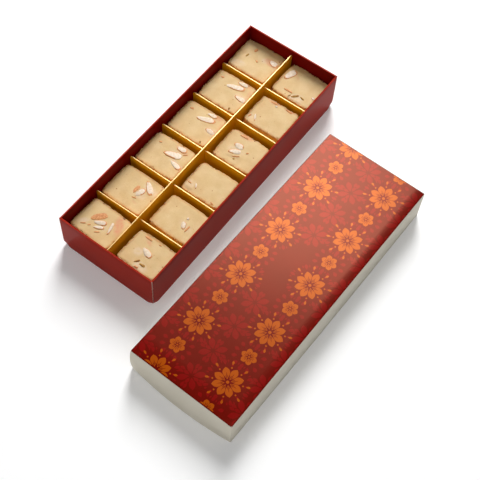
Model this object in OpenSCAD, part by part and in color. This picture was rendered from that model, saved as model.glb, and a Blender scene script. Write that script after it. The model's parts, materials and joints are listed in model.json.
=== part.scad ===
// A shallow carton of barfi: a double-walled tray, a lift-off lid that lies beside it,
// a half-lapped grid of gold card, and twelve sweets with nuts pressed into their tops.
// The origin is the middle of the tray's underside, +X runs along the tray, +Z is up.

/* [Tray] */
// Length of the tray over its end walls
tray_len = 240; // [210:1:320]
// Width of the tray over its long walls
tray_wid = 88; // [80:1:120]
// Height of the tray's end walls
tray_h = 38; // [36:1:60]
// Thickness of one ply of tray board
ply = 0.6; // [0.4:0.05:0.9]
// Height by which the end walls stand above the long walls
end_proud = 0.4; // [0.1:0.05:1]
// Radius of the upright folds at the tray's corners
tray_fold = 0.7; // [0.3:0.05:1]
// Radius of the rolled edge along the top of each wall
rim_round = 0.35; // [0.1:0.05:0.38]

/* [Lid] */
// Height of the lid
lid_h = 30; // [20:1:34]
// Thickness of the lid's board
lid_board = 0.4; // [0.3:0.05:0.6]
// Play between the closed lid's corner tabs and the tray, on each side
lid_play = 0.2; // [0.1:0.05:0.8]
// Radius of the lid's folded edges
lid_fold = 0.8; // [0.5:0.05:1.5]
// Bulge of the lid's end walls at their lower edge
end_bulge = 3; // [0.5:0.1:5]
// Bulge of the lid's long walls at their lower edge
side_bulge = 0.6; // [0.2:0.1:2]
// Length of the glued tabs inside the lid's corners
tab_len = 16; // [8:1:25]
// Free space between the tray and the lid that lies beside it
lid_aside = 22; // [8:1:60]
// Distance that the lid lies back along the tray
lid_back = 48; // [0:1:70]
// Turn of the lid as it lies beside the tray, in degrees
lid_turn = -1.4; // [-4:0.1:4]

/* [Dividers] */
// Thickness of the gold card
card = 0.7; // [0.3:0.05:0.9]
// Height of the cross dividers
cross_h = 28; // [18:0.5:32]
// Height of the long divider
long_h = 33; // [18:0.5:35]
// Play in the half-laps, on each side of the card
lap_play = 0.15; // [0.05:0.05:0.4]
// Gap between a divider's end and the tray wall
end_play = 0.3; // [0.1:0.05:0.8]
// Corner radius of the cut card
card_round = 1.5; // [0.5:0.1:3]

/* [Liner] */
// Thickness of the sheet under the sweets
liner_t = 0.4; // [0.2:0.05:0.8]
// Gap between the sheet's edge and the tray walls
liner_play = 0.5; // [0.2:0.1:1.5]

/* [Barfi] */
// Height of a sweet
sweet_h = 24; // [16:0.5:27]
// Room between a sweet and the cross dividers, on each side
room_along = 4.4; // [3.6:0.1:5]
// Room between a sweet and the long divider or the wall, on each side
room_across = 3.6; // [2.8:0.1:4.2]
// Radius of a sweet's upright corners
sweet_corner = 3; // [1:0.1:4]
// Radius of a sweet's top edges
sweet_edge = 1.1; // [0.4:0.1:2]
// Radius of the crumbs broken out of a sweet's top edge
crumb_r = 2; // [1.4:0.1:2.6]

/* [Nuts] */
// Length of an almond slice
almond_len = 15; // [11:0.5:16]
// Width of an almond slice
almond_wid = 4.6; // [3:0.1:5]
// Thickness of an almond slice
almond_t = 1.3; // [0.8:0.1:2]
// Length of a bit of skin or pistachio
bit_len = 4; // [2:0.1:4.4]
// Thickness of a bit
bit_t = 0.9; // [0.5:0.1:1.4]
// Share of a nut's thickness that is pressed into the sweet
sunk_share = 0.6; // [0.3:0.05:0.8]

/* [Hidden] */

$fn = 48;
// Cells along the tray, two to a row
rows = 6;
// Distance that a cutter runs past what it cuts
over = 1;
// Thickness of the slices that a bulging wall is stretched between
slice = 0.02;
// Straight pieces along one side of a bulging outline
bulge_steps = 14;

wall = 2 * ply;
inner_len = tray_len - 2 * wall;
inner_wid = tray_wid - 2 * wall;
pitch = tray_len / rows;
foot_z = ply + liner_t;
lap_share = 0.5;
lap_z = foot_z + cross_h * lap_share;
lid_len = tray_len + 2 * (lid_play + 2 * lid_board);
lid_wid = tray_wid + 2 * (lid_play + 2 * lid_board);
// A corner tab starts inside the lid's wall and stands one board's thickness in from it
tab_t = 3 / 2 * lid_board;
tab_y = (lid_wid - lid_board - tab_t) / 2;
lid_y = -(tray_wid / 2 + lid_aside + lid_wid / 2);

// How each sweet lies in its cell: offset along and across as shares of its free room,
// turn in degrees, then its length, width and height as shares of the usual ones.
// The first six run along the far side of the tray, the last six along the lid's side.
lie_share = [
    [0.11, 0.45, -2.5, 0.98, 1.05, 1.00],
    [-0.21, 0.52, -0.3, 1.06, 1.06, 0.99],
    [-0.23, 0.62, 0.5, 1.03, 1.07, 1.01],
    [-0.12, 0.52, 1.0, 1.05, 1.06, 1.00],
    [-0.01, 0.49, 0.5, 1.05, 1.06, 1.02],
    [0.66, 0.60, 1.2, 1.08, 1.06, 1.00],
    [0.12, -0.05, -1.0, 0.97, 1.00, 0.98],
    [-0.09, -0.11, -0.8, 1.00, 1.01, 1.01],
    [-0.29, -0.01, 1.4, 0.98, 1.01, 1.00],
    [-0.18, -0.01, 1.0, 1.00, 1.02, 1.00],
    [0.26, 0.09, 0.8, 1.00, 1.03, 1.01],
    [0.66, 0.06, -1.2, 1.08, 1.03, 1.02]
];

// Almond slices on each sweet: place along and across as shares of half the sweet,
// length and width as shares of the usual ones, and turn in degrees.
almond_share = [
    [[0.00, 0.00, 0.68, 0.79, -62], [-0.26, -0.09, 0.56, 0.56, -59], [0.05, -0.49, 0.74, 0.50, 17]],
    [[0.09, -0.34, 0.60, 0.94, -12], [0.52, -0.49, 0.90, 0.93, 50]],
    [[0.25, -0.22, 1.02, 1.12, -74], [0.77, -0.38, 0.62, 0.88, -85], [-0.17, -0.65, 0.74, 0.82, 76]],
    [[0.42, -0.21, 1.12, 0.95, -71], [0.82, -0.32, 0.59, 0.70, -82], [-0.04, -0.70, 0.58, 0.80, 89]],
    [[0.46, -0.19, 1.08, 0.98, -72], [0.83, -0.33, 0.60, 0.70, -86], [-0.01, -0.67, 0.66, 0.83, 86]],
    [[0.32, -0.71, 0.58, 0.98, 79]],
    [[0.10, 0.04, 0.70, 0.95, 70]],
    [[-0.15, -0.34, 0.46, 0.72, 30], [0.29, -0.27, 0.15, 0.38, -24]],
    [[-0.49, 0.47, 0.33, 0.30, 29]],
    [[0.19, 0.25, 0.56, 1.02, 88], [-0.23, 0.23, 0.70, 0.82, -61]],
    [[-0.54, 0.60, 0.48, 0.33, 28], [0.72, 0.17, 0.15, 0.35, -81]],
    [[0.28, 0.73, 0.88, 1.12, -17], [-0.25, -0.86, 0.20, 0.35, 81]]
];

// Bits on each sweet: place along and across as shares of half the sweet, length as a share
// of the usual one, width as a share of the length, turn in degrees, and 0 for skin or 1 for
// pistachio.
bit_share = [
    [[0.26, 0.25, 3.15, 0.48, -46, 0], [-0.44, 0.31, 0.60, 0.55, -50, 0],
     [-0.50, -0.17, 1.18, 0.26, -53, 0], [-0.55, 0.55, 1.08, 0.26, -55, 0]],
    [[0.13, -0.10, 1.90, 0.44, -8, 0], [-0.32, -0.29, 0.92, 0.28, -79, 0]],
    [[0.52, 0.58, 0.62, 0.70, -77, 0], [0.62, -0.66, 0.95, 0.26, -51, 0]],
    [[0.60, 0.64, 0.86, 0.56, -82, 0], [-0.86, -0.70, 0.55, 0.60, 16, 1]],
    [[0.61, 0.63, 0.80, 0.60, 90, 0], [-0.84, -0.62, 0.70, 0.50, 10, 1]],
    [[0.55, 0.36, 0.89, 0.95, -61, 0], [0.02, 0.52, 1.02, 0.30, -7, 1],
     [-0.04, -0.03, 0.70, 0.56, 59, 0]],
    [[-0.57, 0.13, 1.28, 0.28, -37, 1], [-0.60, -0.17, 1.30, 0.35, -85, 1],
     [-0.86, -0.02, 0.90, 0.46, 89, 0], [0.80, 0.43, 1.60, 0.30, 89, 0],
     [0.84, -0.16, 0.57, 0.50, -89, 0]],
    [[-0.19, -0.56, 1.55, 0.24, -4, 0]],
    [[-0.48, 0.80, 0.82, 0.38, 85, 0], [-0.86, -0.60, 0.75, 0.36, 68, 0]],
    [[-0.42, 0.03, 1.50, 0.18, -59, 0], [0.07, -0.28, 0.59, 0.60, -54, 0],
     [0.84, 0.31, 1.85, 0.20, -88, 0], [-0.62, 0.04, 0.44, 0.70, -41, 1]],
    [[0.86, 0.34, 1.50, 0.24, -86, 0], [-0.59, 0.85, 0.90, 0.38, -23, 0],
     [0.85, -0.44, 1.50, 0.24, 83, 0]],
    [[-0.60, 0.26, 2.05, 0.23, -90, 0], [-0.68, -0.15, 1.75, 0.25, -43, 1],
     [-0.57, -0.47, 1.10, 0.30, 78, 1], [-0.83, 0.08, 0.80, 0.28, -22, 1]]
];

// Corners of a flake of skin, as shares of its length and width.
skin_outline_share = [
    [-0.50, -0.15], [-0.28, -0.52], [0.18, -0.45], [0.50, -0.06], [0.30, 0.42], [-0.16, 0.48]
];

// Places round a sweet's top edge where crumbs are missing, as shares of half its
// length and width, with the crumb's radius as a share of the usual one.
crumb_share = [
    [-1, -0.62, 1.0], [-1, 0.24, 0.7], [-0.34, 1, 0.8], [0.46, 1, 1.0],
    [1, 0.56, 0.8], [1, -0.30, 1.0], [0.58, -1, 0.9], [-0.20, -1, 0.7]
];
// Crumbs missing from one sweet
crumbs = 4;
// How far a crumb's centre lies outside the sweet's edge, as a share of its radius
crumb_out_share = 0.2;

// Which row a sweet lies in, and which side of the long divider (1 far, -1 near).
function row_of(i) = i % rows;
function side_of(i) = i < rows ? 1 : -1;

// Where each cell starts and ends along the tray.
function cell_lo(r) = r == 0 ? -inner_len / 2 : -tray_len / 2 + r * pitch + card / 2;
function cell_hi(r) = r == rows - 1 ? inner_len / 2 : -tray_len / 2 + (r + 1) * pitch - card / 2;
function cell_x(i) = (cell_lo(row_of(i)) + cell_hi(row_of(i))) / 2;
function cell_y(i) = side_of(i) * (inner_wid / 2 + card / 2) / 2;

function sweet_len(i) = (pitch - card - 2 * room_along) * lie_share[i][3];
function sweet_wid(i) = ((inner_wid - card) / 2 - 2 * room_across) * lie_share[i][4];
function sweet_top(i) = foot_z + sweet_h * lie_share[i][5];
function sweet_x(i) =
    cell_x(i) + lie_share[i][0] * (cell_hi(row_of(i)) - cell_lo(row_of(i)) - sweet_len(i)) / 2;
function sweet_y(i) =
    cell_y(i) + lie_share[i][1] * ((inner_wid - card) / 2 - sweet_wid(i)) / 2;

// A rectangle with round corners, centred.
module round_rect(l, w, r) {
    square([l - 2 * r, w], center = true);
    square([l, w - 2 * r], center = true);
    for (x = [-1, 1], y = [-1, 1])
        translate([x * (l / 2 - r), y * (w / 2 - r)]) circle(r);
}

// The side view of a block or wall with round top edges, standing on the X axis.
module round_top(w, h, r) {
    translate([-w / 2, 0]) square([w, h - r]);
    translate([r - w / 2, 0]) square([w - 2 * r, h]);
    for (x = [-1, 1]) translate([x * (w / 2 - r), h - r]) circle(r);
}

// Runs a side view along X.
module run_x(l) {
    rotate([90, 0, 90]) translate([0, 0, -l / 2]) linear_extrude(l) children();
}

// Runs a side view along Y.
module run_y(l) {
    rotate([90, 0, 0]) translate([0, 0, -l / 2]) linear_extrude(l) children();
}

// The tray: a floor of one ply and four walls of two plies, rolled over at the rim.
module tray() {
    color([0.49, 0.12, 0.1]) intersection() {
        translate([0, 0, -over]) linear_extrude(tray_h + 2 * over)
            round_rect(tray_len, tray_wid, tray_fold);
        union() {
            translate([-tray_len / 2, -tray_wid / 2, 0]) cube([tray_len, tray_wid, ply]);
            for (x = [-1, 1])
                translate([x * (tray_len - wall) / 2, 0, 0])
                    run_y(tray_wid) round_top(wall, tray_h, rim_round);
            for (y = [-1, 1])
                translate([0, y * (tray_wid - wall) / 2, 0])
                    run_x(tray_len - wall) round_top(wall, tray_h - end_proud, rim_round);
        }
    }
}

// Outline of a box whose four sides bulge by the given amounts, corners kept in place.
function bulged(l, w, end, side) = concat(
    [for (k = [0:bulge_steps - 1]) let (s = 2 * k / bulge_steps - 1)
        [s * l / 2, -w / 2 - side * (1 - s * s)]],
    [for (k = [0:bulge_steps - 1]) let (s = 2 * k / bulge_steps - 1)
        [l / 2 + end * (1 - s * s), s * w / 2]],
    [for (k = [0:bulge_steps - 1]) let (s = 1 - 2 * k / bulge_steps)
        [s * l / 2, w / 2 + side * (1 - s * s)]],
    [for (k = [0:bulge_steps - 1]) let (s = 1 - 2 * k / bulge_steps)
        [-l / 2 - end * (1 - s * s), s * w / 2]]
);

// A closed form that is a plain rectangle at the top and bulges towards its foot.
module bulging_form(l, w, foot, top) {
    hull() {
        translate([0, 0, top - slice]) linear_extrude(slice) round_rect(l, w, lid_fold, $fn = 32);
        translate([0, 0, foot]) linear_extrude(slice) polygon(bulged(l, w, end_bulge, side_bulge));
    }
}

// The lid: a flat printed top and four walls that hang from its folds, with glued tabs
// inside the corners.
module lid() {
    color([0.62, 0.1, 0.07]) translate([-lid_back, lid_y, 0]) rotate([0, 0, lid_turn]) union() {
        translate([0, 0, lid_h - lid_board]) linear_extrude(lid_board)
            round_rect(lid_len, lid_wid, lid_fold);
        difference() {
            bulging_form(lid_len, lid_wid, 0, lid_h - lid_board / 2);
            bulging_form(lid_len - 2 * lid_board, lid_wid - 2 * lid_board, -slice, lid_h);
        }
        for (x = [-1, 1], y = [-1, 1])
            translate([x * (lid_len - tab_len - lid_board) / 2, y * tab_y, lid_h / 2])
                cube([tab_len, tab_t, lid_h - lid_board], center = true);
    }
}

// The sheet on the tray's floor.
module base_liner() {
    color([0.8, 0.62, 0.25]) translate([0, 0, ply]) linear_extrude(liner_t)
        square([inner_len - 2 * liner_play, inner_wid - 2 * liner_play], center = true);
}

// A strip of card with its two top corners rounded, seen from the side.
module card_strip(l, h) {
    translate([-l / 2, 0]) square([l, h - card_round]);
    translate([card_round - l / 2, 0]) square([l - 2 * card_round, h]);
    for (x = [-1, 1]) translate([x * (l / 2 - card_round), h - card_round]) circle(card_round);
}

// The long divider, slotted from its foot over the cross dividers.
module long_divider() {
    slot = card + 2 * lap_play;
    color([0.85, 0.62, 0.12]) translate([0, card / 2, foot_z]) rotate([90, 0, 0])
        linear_extrude(card) difference() {
            card_strip(inner_len - 2 * end_play, long_h);
            for (r = [1:rows - 1])
                translate([-tray_len / 2 + r * pitch - slot / 2, -over])
                    square([slot, lap_z - foot_z + lap_play + over]);
        }
}

// One cross divider, slotted from its top under the long divider.
module cross_divider(r) {
    slot = card + 2 * lap_play;
    color([0.85, 0.6, 0.1]) translate([-tray_len / 2 + r * pitch - card / 2, 0, foot_z])
        rotate([90, 0, 90]) linear_extrude(card) difference() {
            card_strip(inner_wid - 2 * end_play, cross_h);
            translate([-slot / 2, lap_z - foot_z - lap_play])
                square([slot, cross_h]);
        }
}

// Puts what belongs to a sweet at its place and turn, with its top at the given height.
module at_sweet(i, z) {
    translate([sweet_x(i), sweet_y(i), z]) rotate([0, 0, lie_share[i][2]]) children();
}

// The outline of a sliced nut, pointed at both ends.
module slice_outline(l, w) {
    r = (l * l + w * w) / (4 * w);
    intersection() {
        translate([0, r - w / 2]) circle(r);
        translate([0, w / 2 - r]) circle(r);
    }
}

// The almond slices on one sweet, standing on what they are pressed into. The height
// lets the same slices cut their own seats.
module almond_slices(i, h) {
    for (a = almond_share[i])
        translate([a[0] * sweet_len(i) / 2, a[1] * sweet_wid(i) / 2, -sunk_share * almond_t])
            rotate([0, 0, a[4]]) linear_extrude(h)
                slice_outline(a[2] * almond_len, a[3] * almond_wid);
}

// The flakes of skin and the pistachio chips on one sweet, in the same way.
module bits(i, h) {
    for (b = bit_share[i]) {
        l = b[2] * bit_len;
        w = b[3] * l;
        translate([b[0] * sweet_len(i) / 2, b[1] * sweet_wid(i) / 2, -sunk_share * bit_t])
            rotate([0, 0, b[4]]) linear_extrude(h)
                if (b[5] == 1) slice_outline(l, w);
                else polygon([for (p = skin_outline_share) [p[0] * l, p[1] * w]]);
    }
}

// One sweet: a cut block with soft edges, crumbs broken from its rim and seats for its nuts.
module barfi(i) {
    l = sweet_len(i);
    w = sweet_wid(i);
    h = sweet_top(i) - foot_z;
    color([0.88, 0.78, 0.58]) difference() {
        at_sweet(i, foot_z) intersection() {
            linear_extrude(h + over) round_rect(l, w, sweet_corner);
            run_y(w + 2 * over) round_top(l, h, sweet_edge);
            run_x(l + 2 * over) round_top(w, h, sweet_edge);
        }
        at_sweet(i, sweet_top(i)) {
            almond_slices(i, almond_t + over);
            bits(i, bit_t + over);
            for (k = [0:crumbs - 1]) {
                c = crumb_share[(3 * k + 5 * i) % len(crumb_share)];
                r = c[2] * crumb_r;
                out = crumb_out_share * r;
                translate([c[0] * (l / 2 + out), c[1] * (w / 2 + out), out]) sphere(r, $fn = 24);
            }
        }
    }
}

module almonds(i) {
    color([0.96, 0.92, 0.84]) at_sweet(i, sweet_top(i)) almond_slices(i, almond_t);
}

module nut_bits(i) {
    color([0.72, 0.4, 0.2]) at_sweet(i, sweet_top(i)) bits(i, bit_t);
}

// The name of a numbered node, with two digits.
function numbered(name, n) = str(name, "_", n < 10 ? "0" : "", n);

tray();
lid();
base_liner();
long_divider();
for (r = [1:rows - 1])
    cross_divider(r);
for (i = [0:2 * rows - 1]) {
    barfi(i);
    almonds(i);
    nut_bits(i);
}
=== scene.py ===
import json
import math

import bmesh
import bpy
import numpy as np
from mathutils import Matrix, Vector

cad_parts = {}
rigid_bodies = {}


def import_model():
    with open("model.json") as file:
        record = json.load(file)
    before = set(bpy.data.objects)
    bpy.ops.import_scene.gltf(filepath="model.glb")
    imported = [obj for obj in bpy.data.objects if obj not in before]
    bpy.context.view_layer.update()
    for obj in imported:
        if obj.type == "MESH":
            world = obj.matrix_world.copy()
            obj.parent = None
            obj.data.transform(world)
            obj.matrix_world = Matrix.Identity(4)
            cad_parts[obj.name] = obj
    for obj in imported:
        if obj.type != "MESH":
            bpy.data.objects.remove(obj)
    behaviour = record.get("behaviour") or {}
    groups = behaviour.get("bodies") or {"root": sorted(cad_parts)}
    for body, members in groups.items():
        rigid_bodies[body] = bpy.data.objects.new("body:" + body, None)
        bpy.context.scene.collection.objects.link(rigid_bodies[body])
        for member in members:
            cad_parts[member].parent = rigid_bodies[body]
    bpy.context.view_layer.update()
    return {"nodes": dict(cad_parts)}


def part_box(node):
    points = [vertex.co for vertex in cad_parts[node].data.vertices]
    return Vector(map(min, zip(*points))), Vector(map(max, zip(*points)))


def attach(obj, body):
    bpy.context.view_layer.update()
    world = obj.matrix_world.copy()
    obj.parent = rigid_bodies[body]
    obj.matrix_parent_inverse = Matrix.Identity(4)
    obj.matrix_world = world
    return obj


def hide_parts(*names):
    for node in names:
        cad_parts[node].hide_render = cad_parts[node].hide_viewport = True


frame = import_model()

# Tray. One folded blank of red-printed folding board with a satin film. The walls are rolled
# over into two plies; the end walls wrap the long walls' tabs, so the raw edge of their outer
# ply shows as a pale line at each upright corner, and they stand slightly proud.
MM = 0.001
PLY = 0.6 * MM
END_PROUD = 0.4 * MM
END_PLY_PLAY = 0.3 * MM
RIM_RADIUS = 0.3 * MM
RIM_GROOVE = 0.22 * MM
WALL_PARTS = 24
TUCK, TUCK_REACH, TUCK_HEIGHT = 1.7 * MM, 5 * MM, 6 * MM
SHARP_FOLD = math.radians(35)
placed = bpy.context.scene.collection.objects


def linear(colour):
    """An sRGB hex colour as the linear RGBA that Blender's sockets take."""
    parts = [int(colour[i:i + 2], 16) / 255 for i in (0, 2, 4)]
    return [p / 12.92 if p <= 0.04045 else ((p + 0.055) / 1.055) ** 2.4 for p in parts] + [1.0]


def node(tree, kind, inputs=None, **settings):
    """Adds a node, sets its options, fills or links its inputs, and gives its first output."""
    made = tree.nodes.new(kind)
    for name, value in settings.items():
        setattr(made, name, value)
    for key, value in (inputs or {}).items():
        if isinstance(value, bpy.types.NodeSocket):
            tree.links.new(value, made.inputs[key])
        else:
            made.inputs[key].default_value = value
    return next((o for o in made.outputs if o.enabled), made)


def surface(name, colour, **sockets):
    """A material with the shader's own sockets set; gives it, its tree, shader and coordinates."""
    made = bpy.data.materials.new(name)
    made.use_nodes = True
    shader = made.node_tree.nodes["Principled BSDF"]
    shader.inputs["Base Color"].default_value = linear(colour)
    for socket, value in sockets.items():
        shader.inputs[socket.replace("_", " ")].default_value = value
    place = node(made.node_tree, "ShaderNodeTexCoord").node.outputs["Object"]
    return made, made.node_tree, shader, place


def mesh_of(shape, name, *materials):
    """The mesh of a bmesh, which is freed."""
    mesh = bpy.data.meshes.new(name)
    shape.to_mesh(mesh)
    shape.free()
    for material in materials:
        mesh.materials.append(material)
    return mesh


def piece(name, shape, materials, body, replaced, sharp=SHARP_FOLD):
    """A finished object at the origin that rides on a body and stands for CAD nodes."""
    if isinstance(shape, bmesh.types.BMesh):
        shape = bpy.data.objects.new(name, mesh_of(shape, name, *materials))
        placed.link(shape)
    shape.data.shade_smooth()
    shape.data.set_sharp_from_angle(angle=sharp)
    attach(shape, body)
    if replaced:
        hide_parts(*replaced)


def bar(shape, profile, stations, place, slot, cap_slot):
    """A closed bar in a bmesh: a profile repeated at stations, with place(u, z, s) its points."""
    rings = [[shape.verts.new(place(u, z, s)) for u, z in profile] for s in stations]
    count = len(profile)
    for near, far in zip(rings, rings[1:]):
        for k in range(count):
            face = shape.faces.new((near[k], near[(k + 1) % count], far[(k + 1) % count], far[k]))
            face.material_index = slot
    for ring in (rings[0][::-1], rings[-1]):
        shape.faces.new(ring).material_index = cap_slot


def hump(centre, top, start, end):
    """Points over one rolled edge of the rim, between two angles in degrees."""
    turn = [math.radians(start + (end - start) * k / 5) for k in range(6)]
    low = top - RIM_RADIUS
    return [(centre + RIM_RADIUS * math.cos(a), low + RIM_RADIUS * math.sin(a)) for a in turn]


half_len, half_wid, tray_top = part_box("tray")[1]
levels = [v * MM for v in (0, 0.6, 1.2, 2, 3, 4.5, 8, 16, 24, 32)]
ends = [v * MM for v in (0, 0.3, 0.8, 1.5, 2.5, 4, 6, 12)]


def stations(length):
    """Places along a wall, close together near its two ends."""
    middle = [k * length / WALL_PARTS for k in range(4, WALL_PARTS - 3)]
    return [v - length / 2 for v in ends + middle + [length - v for v in reversed(ends)]]


tray_shape = bmesh.new()
corners = [(-half_len + PLY, -half_wid + PLY), (half_len - PLY, -half_wid + PLY),
           (half_len - PLY, half_wid - PLY), (-half_len + PLY, half_wid - PLY)]
floor_sheet = [tray_shape.verts.new((x, y, z)) for z in (0, PLY) for x, y in corners]
for ring in ((3, 2, 1, 0), (4, 5, 6, 7), (0, 1, 5, 4), (1, 2, 6, 5), (2, 3, 7, 6), (3, 0, 4, 7)):
    tray_shape.faces.new([floor_sheet[k] for k in ring])
for side in (-1, 1):
    top = tray_top - END_PROUD
    rim = hump(RIM_RADIUS, top, 180, 45) + [(PLY, top - RIM_GROOVE)]
    rim += hump(2 * PLY - RIM_RADIUS, top, 135, 0)
    long_wall = [(0, z) for z in levels] + rim + [(2 * PLY, z) for z in reversed(levels)]
    bar(tray_shape, long_wall, stations(2 * (half_len - PLY)),
        lambda u, z, s: (s, side * (half_wid - u), z), 0, 1)
    outer = [(0, z) for z in levels] + hump(RIM_RADIUS, tray_top, 180, 45)
    outer += [(PLY, tray_top - RIM_GROOVE), (PLY, 0)]
    bar(tray_shape, outer, stations(2 * half_wid), lambda u, z, s: (side * (half_len - u), s, z), 0, 1)
    inner = [(PLY, PLY), (PLY, tray_top - RIM_GROOVE)]
    inner += hump(2 * PLY - RIM_RADIUS, tray_top, 135, 0) + [(2 * PLY, z) for z in reversed(levels[2:])]
    bar(tray_shape, inner, stations(2 * (half_wid - 2 * PLY) - END_PLY_PLAY),
        lambda u, z, s: (side * (half_len - u), s, z), 0, 1)
bmesh.ops.recalc_face_normals(tray_shape, faces=tray_shape.faces)
# The folds at the foot of each corner are pressed in a little.
for v in tray_shape.verts:
    reach = math.hypot(half_len - abs(v.co.x), half_wid - abs(v.co.y))
    pull = TUCK * max(0, 1 - reach / TUCK_REACH) * max(0, 1 - v.co.z / TUCK_HEIGHT) ** 2
    v.co.x -= math.copysign(pull, v.co.x)
    v.co.y -= math.copysign(pull, v.co.y)

# Offset-printed red under a satin film: an even colour with a soft gloss, in which the board's
# fibres show as a faint unevenness of about 2 mm. Inside the walls the red is darkened as painted
# shade. Along the top of the rim it is lightened as a painted highlight, with painted shade in the
# groove between the plies, and the board is worn pale on the upright folds.
TRAY_RED, INSIDE_PAINTED_SHADE, WORN_BOARD = "991f0c", "7a0a04", "d9b9ae"
RIM_PAINTED_HIGHLIGHT, RIM_SHADE = "d23a26", "4a0604"
GROOVE_HALF, GROOVE_FADE = 0.1 * MM, 0.22 * MM
INSIDE_FROM, INSIDE_TO = -1.9 * PLY, -1.5 * PLY
BARED_FROM, BARED_TO = tray_top - 2.5 * MM, tray_top - 1 * MM
FIBRE_SIZE, TONE_SIZE = 2 * MM, 40 * MM
NICK_SIZE, NICK_DEPTH, WORN_FROM, WORN_TO = 1.6 * MM, 1.2 * MM, 0.75 * MM, 1.15 * MM
red_board, tree, shader, place = surface(
    "satin_film_on_red_printed_board", TRAY_RED, Roughness=0.34, Specular_IOR_Level=0.03)
fibres = node(tree, "ShaderNodeTexNoise", {"Vector": place, "Scale": 1 / FIBRE_SIZE, "Detail": 3.0})
broad = node(tree, "ShaderNodeTexNoise", {"Vector": place, "Scale": 1 / TONE_SIZE, "Detail": 2.0})
tone = node(tree, "ShaderNodeMapRange", {"Value": broad, "From Min": 0.3, "From Max": 0.7,
                                         "To Min": 0.9, "To Max": 1.08})
inked = node(tree, "ShaderNodeVectorMath", {0: linear(TRAY_RED)[:3], "Scale": tone}, operation="SCALE")
parts = node(tree, "ShaderNodeVectorMath", {0: place}, operation="ABSOLUTE")
parts = node(tree, "ShaderNodeVectorMath", {0: parts, 1: (half_len, half_wid, 0)}, operation="SUBTRACT")
depth = node(tree, "ShaderNodeSeparateXYZ", {0: parts}).node.outputs
is_end = node(tree, "ShaderNodeMath", {0: depth["X"], 1: depth["Y"]}, operation="GREATER_THAN")
depth = node(tree, "ShaderNodeMath", {0: depth["X"], 1: depth["Y"]}, operation="MAXIMUM")
# The inside faces of the walls are darkened as painted shade.
inner = node(tree, "ShaderNodeMapRange", {"Value": depth, "From Min": INSIDE_FROM,
                                          "From Max": INSIDE_TO, "To Min": 1.0, "To Max": 0.0})
inked = node(tree, "ShaderNodeMix", {0: inner, 6: inked, 7: linear(INSIDE_PAINTED_SHADE)}, data_type="RGBA")
height = node(tree, "ShaderNodeSeparateXYZ", {0: place}).node.outputs["Z"]
# Painted highlight along the top of the rim, with painted shade in the groove between its two plies.
rim = node(tree, "ShaderNodeMath", {0: is_end, 1: -END_PROUD, 2: height}, operation="MULTIPLY_ADD")
rim = node(tree, "ShaderNodeMapRange", {"Value": rim, "From Min": tray_top - END_PROUD - RIM_RADIUS,
                                        "From Max": tray_top - END_PROUD})
groove = node(tree, "ShaderNodeMath", {0: depth, 1: PLY}, operation="ADD")
groove = node(tree, "ShaderNodeMath", {0: groove}, operation="ABSOLUTE")
groove = node(tree, "ShaderNodeMapRange", {
    "Value": groove, "From Min": GROOVE_HALF, "From Max": GROOVE_FADE})
edges = node(tree, "ShaderNodeMix", {0: groove, 6: linear(RIM_SHADE), 7: linear(RIM_PAINTED_HIGHLIGHT)},
             data_type="RGBA")
inked = node(tree, "ShaderNodeMix", {0: rim, 6: inked, 7: edges}, data_type="RGBA")
parts = node(tree, "ShaderNodeVectorMath", {0: parts, 1: (1, 1, 0)}, operation="MULTIPLY")
reach = node(tree, "ShaderNodeVectorMath", {0: parts}, operation="LENGTH").node.outputs["Value"]
nicks = node(tree, "ShaderNodeTexNoise", {"Vector": place, "Scale": 1 / NICK_SIZE, "Detail": 4.0})
reach = node(tree, "ShaderNodeMath", {0: nicks, 1: NICK_DEPTH, 2: reach}, operation="MULTIPLY_ADD")
worn = node(tree, "ShaderNodeMapRange", {"Value": reach, "From Min": WORN_FROM, "From Max": WORN_TO,
                                         "To Min": 1.0, "To Max": 0.0})
bared = node(tree, "ShaderNodeMapRange", {"Value": height, "From Min": BARED_FROM, "From Max": BARED_TO,
                                          "To Min": 0.5, "To Max": 1.0})
worn = node(tree, "ShaderNodeMath", {0: worn, 1: bared}, operation="MULTIPLY")
inked = node(tree, "ShaderNodeMix", {0: worn, 6: inked, 7: linear(WORN_BOARD)}, data_type="RGBA")
tree.links.new(inked, shader.inputs["Base Color"])
bump = node(tree, "ShaderNodeBump", {"Height": fibres, "Strength": 0.12, "Distance": 0.1 * MM})
tree.links.new(bump, shader.inputs["Normal"])

# The board's core where it is cut: short pale fibres, stained by the red ink.
CORE_STAIN, CORE_PALE, FRAY_SIZE = "a06a5e", "e4d6cc", 0.7 * MM
board_core, tree, shader, place = surface("cut_edge_of_pale_board_core", "d8c3b6", Roughness=0.85)
fray = node(tree, "ShaderNodeTexNoise", {"Vector": place, "Scale": 1 / FRAY_SIZE, "Detail": 4.0})
core = node(tree, "ShaderNodeMapRange", {"Value": fray, "From Min": 0.4, "From Max": 0.62})
core = node(tree, "ShaderNodeMix", {0: core, 6: linear(CORE_STAIN), 7: linear(CORE_PALE)},
            data_type="RGBA")
tree.links.new(core, shader.inputs["Base Color"])
piece("tray_board", tray_shape, [red_board, board_core], "tray", ["tray"])

# Base liner. A loose sheet of embossed gold foil paper that keeps the sweets' fat off the
# board. Only slits of it show between the sweets.
LINER_GOLD, LINER_SHADE, EMBOSS_SIZE = "c9963a", "a87420", 1.5 * MM
liner_foil, tree, shader, place = surface(
    "embossed_gold_foil_paper", LINER_GOLD, Metallic=0.8, Roughness=0.42)
grain = node(tree, "ShaderNodeTexVoronoi", {"Vector": place, "Scale": 1 / EMBOSS_SIZE})
bump = node(tree, "ShaderNodeBump", {"Height": grain, "Strength": 0.4, "Distance": 0.15 * MM})
tree.links.new(bump, shader.inputs["Normal"])
tree.links.new(node(tree, "ShaderNodeMix", {0: grain, 6: linear(LINER_GOLD), 7: linear(LINER_SHADE)},
                    data_type="RGBA"), shader.inputs["Base Color"])
liner = frame["nodes"]["base_liner"]
liner.data.materials.clear()
liner.data.materials.append(liner_foil)

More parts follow.
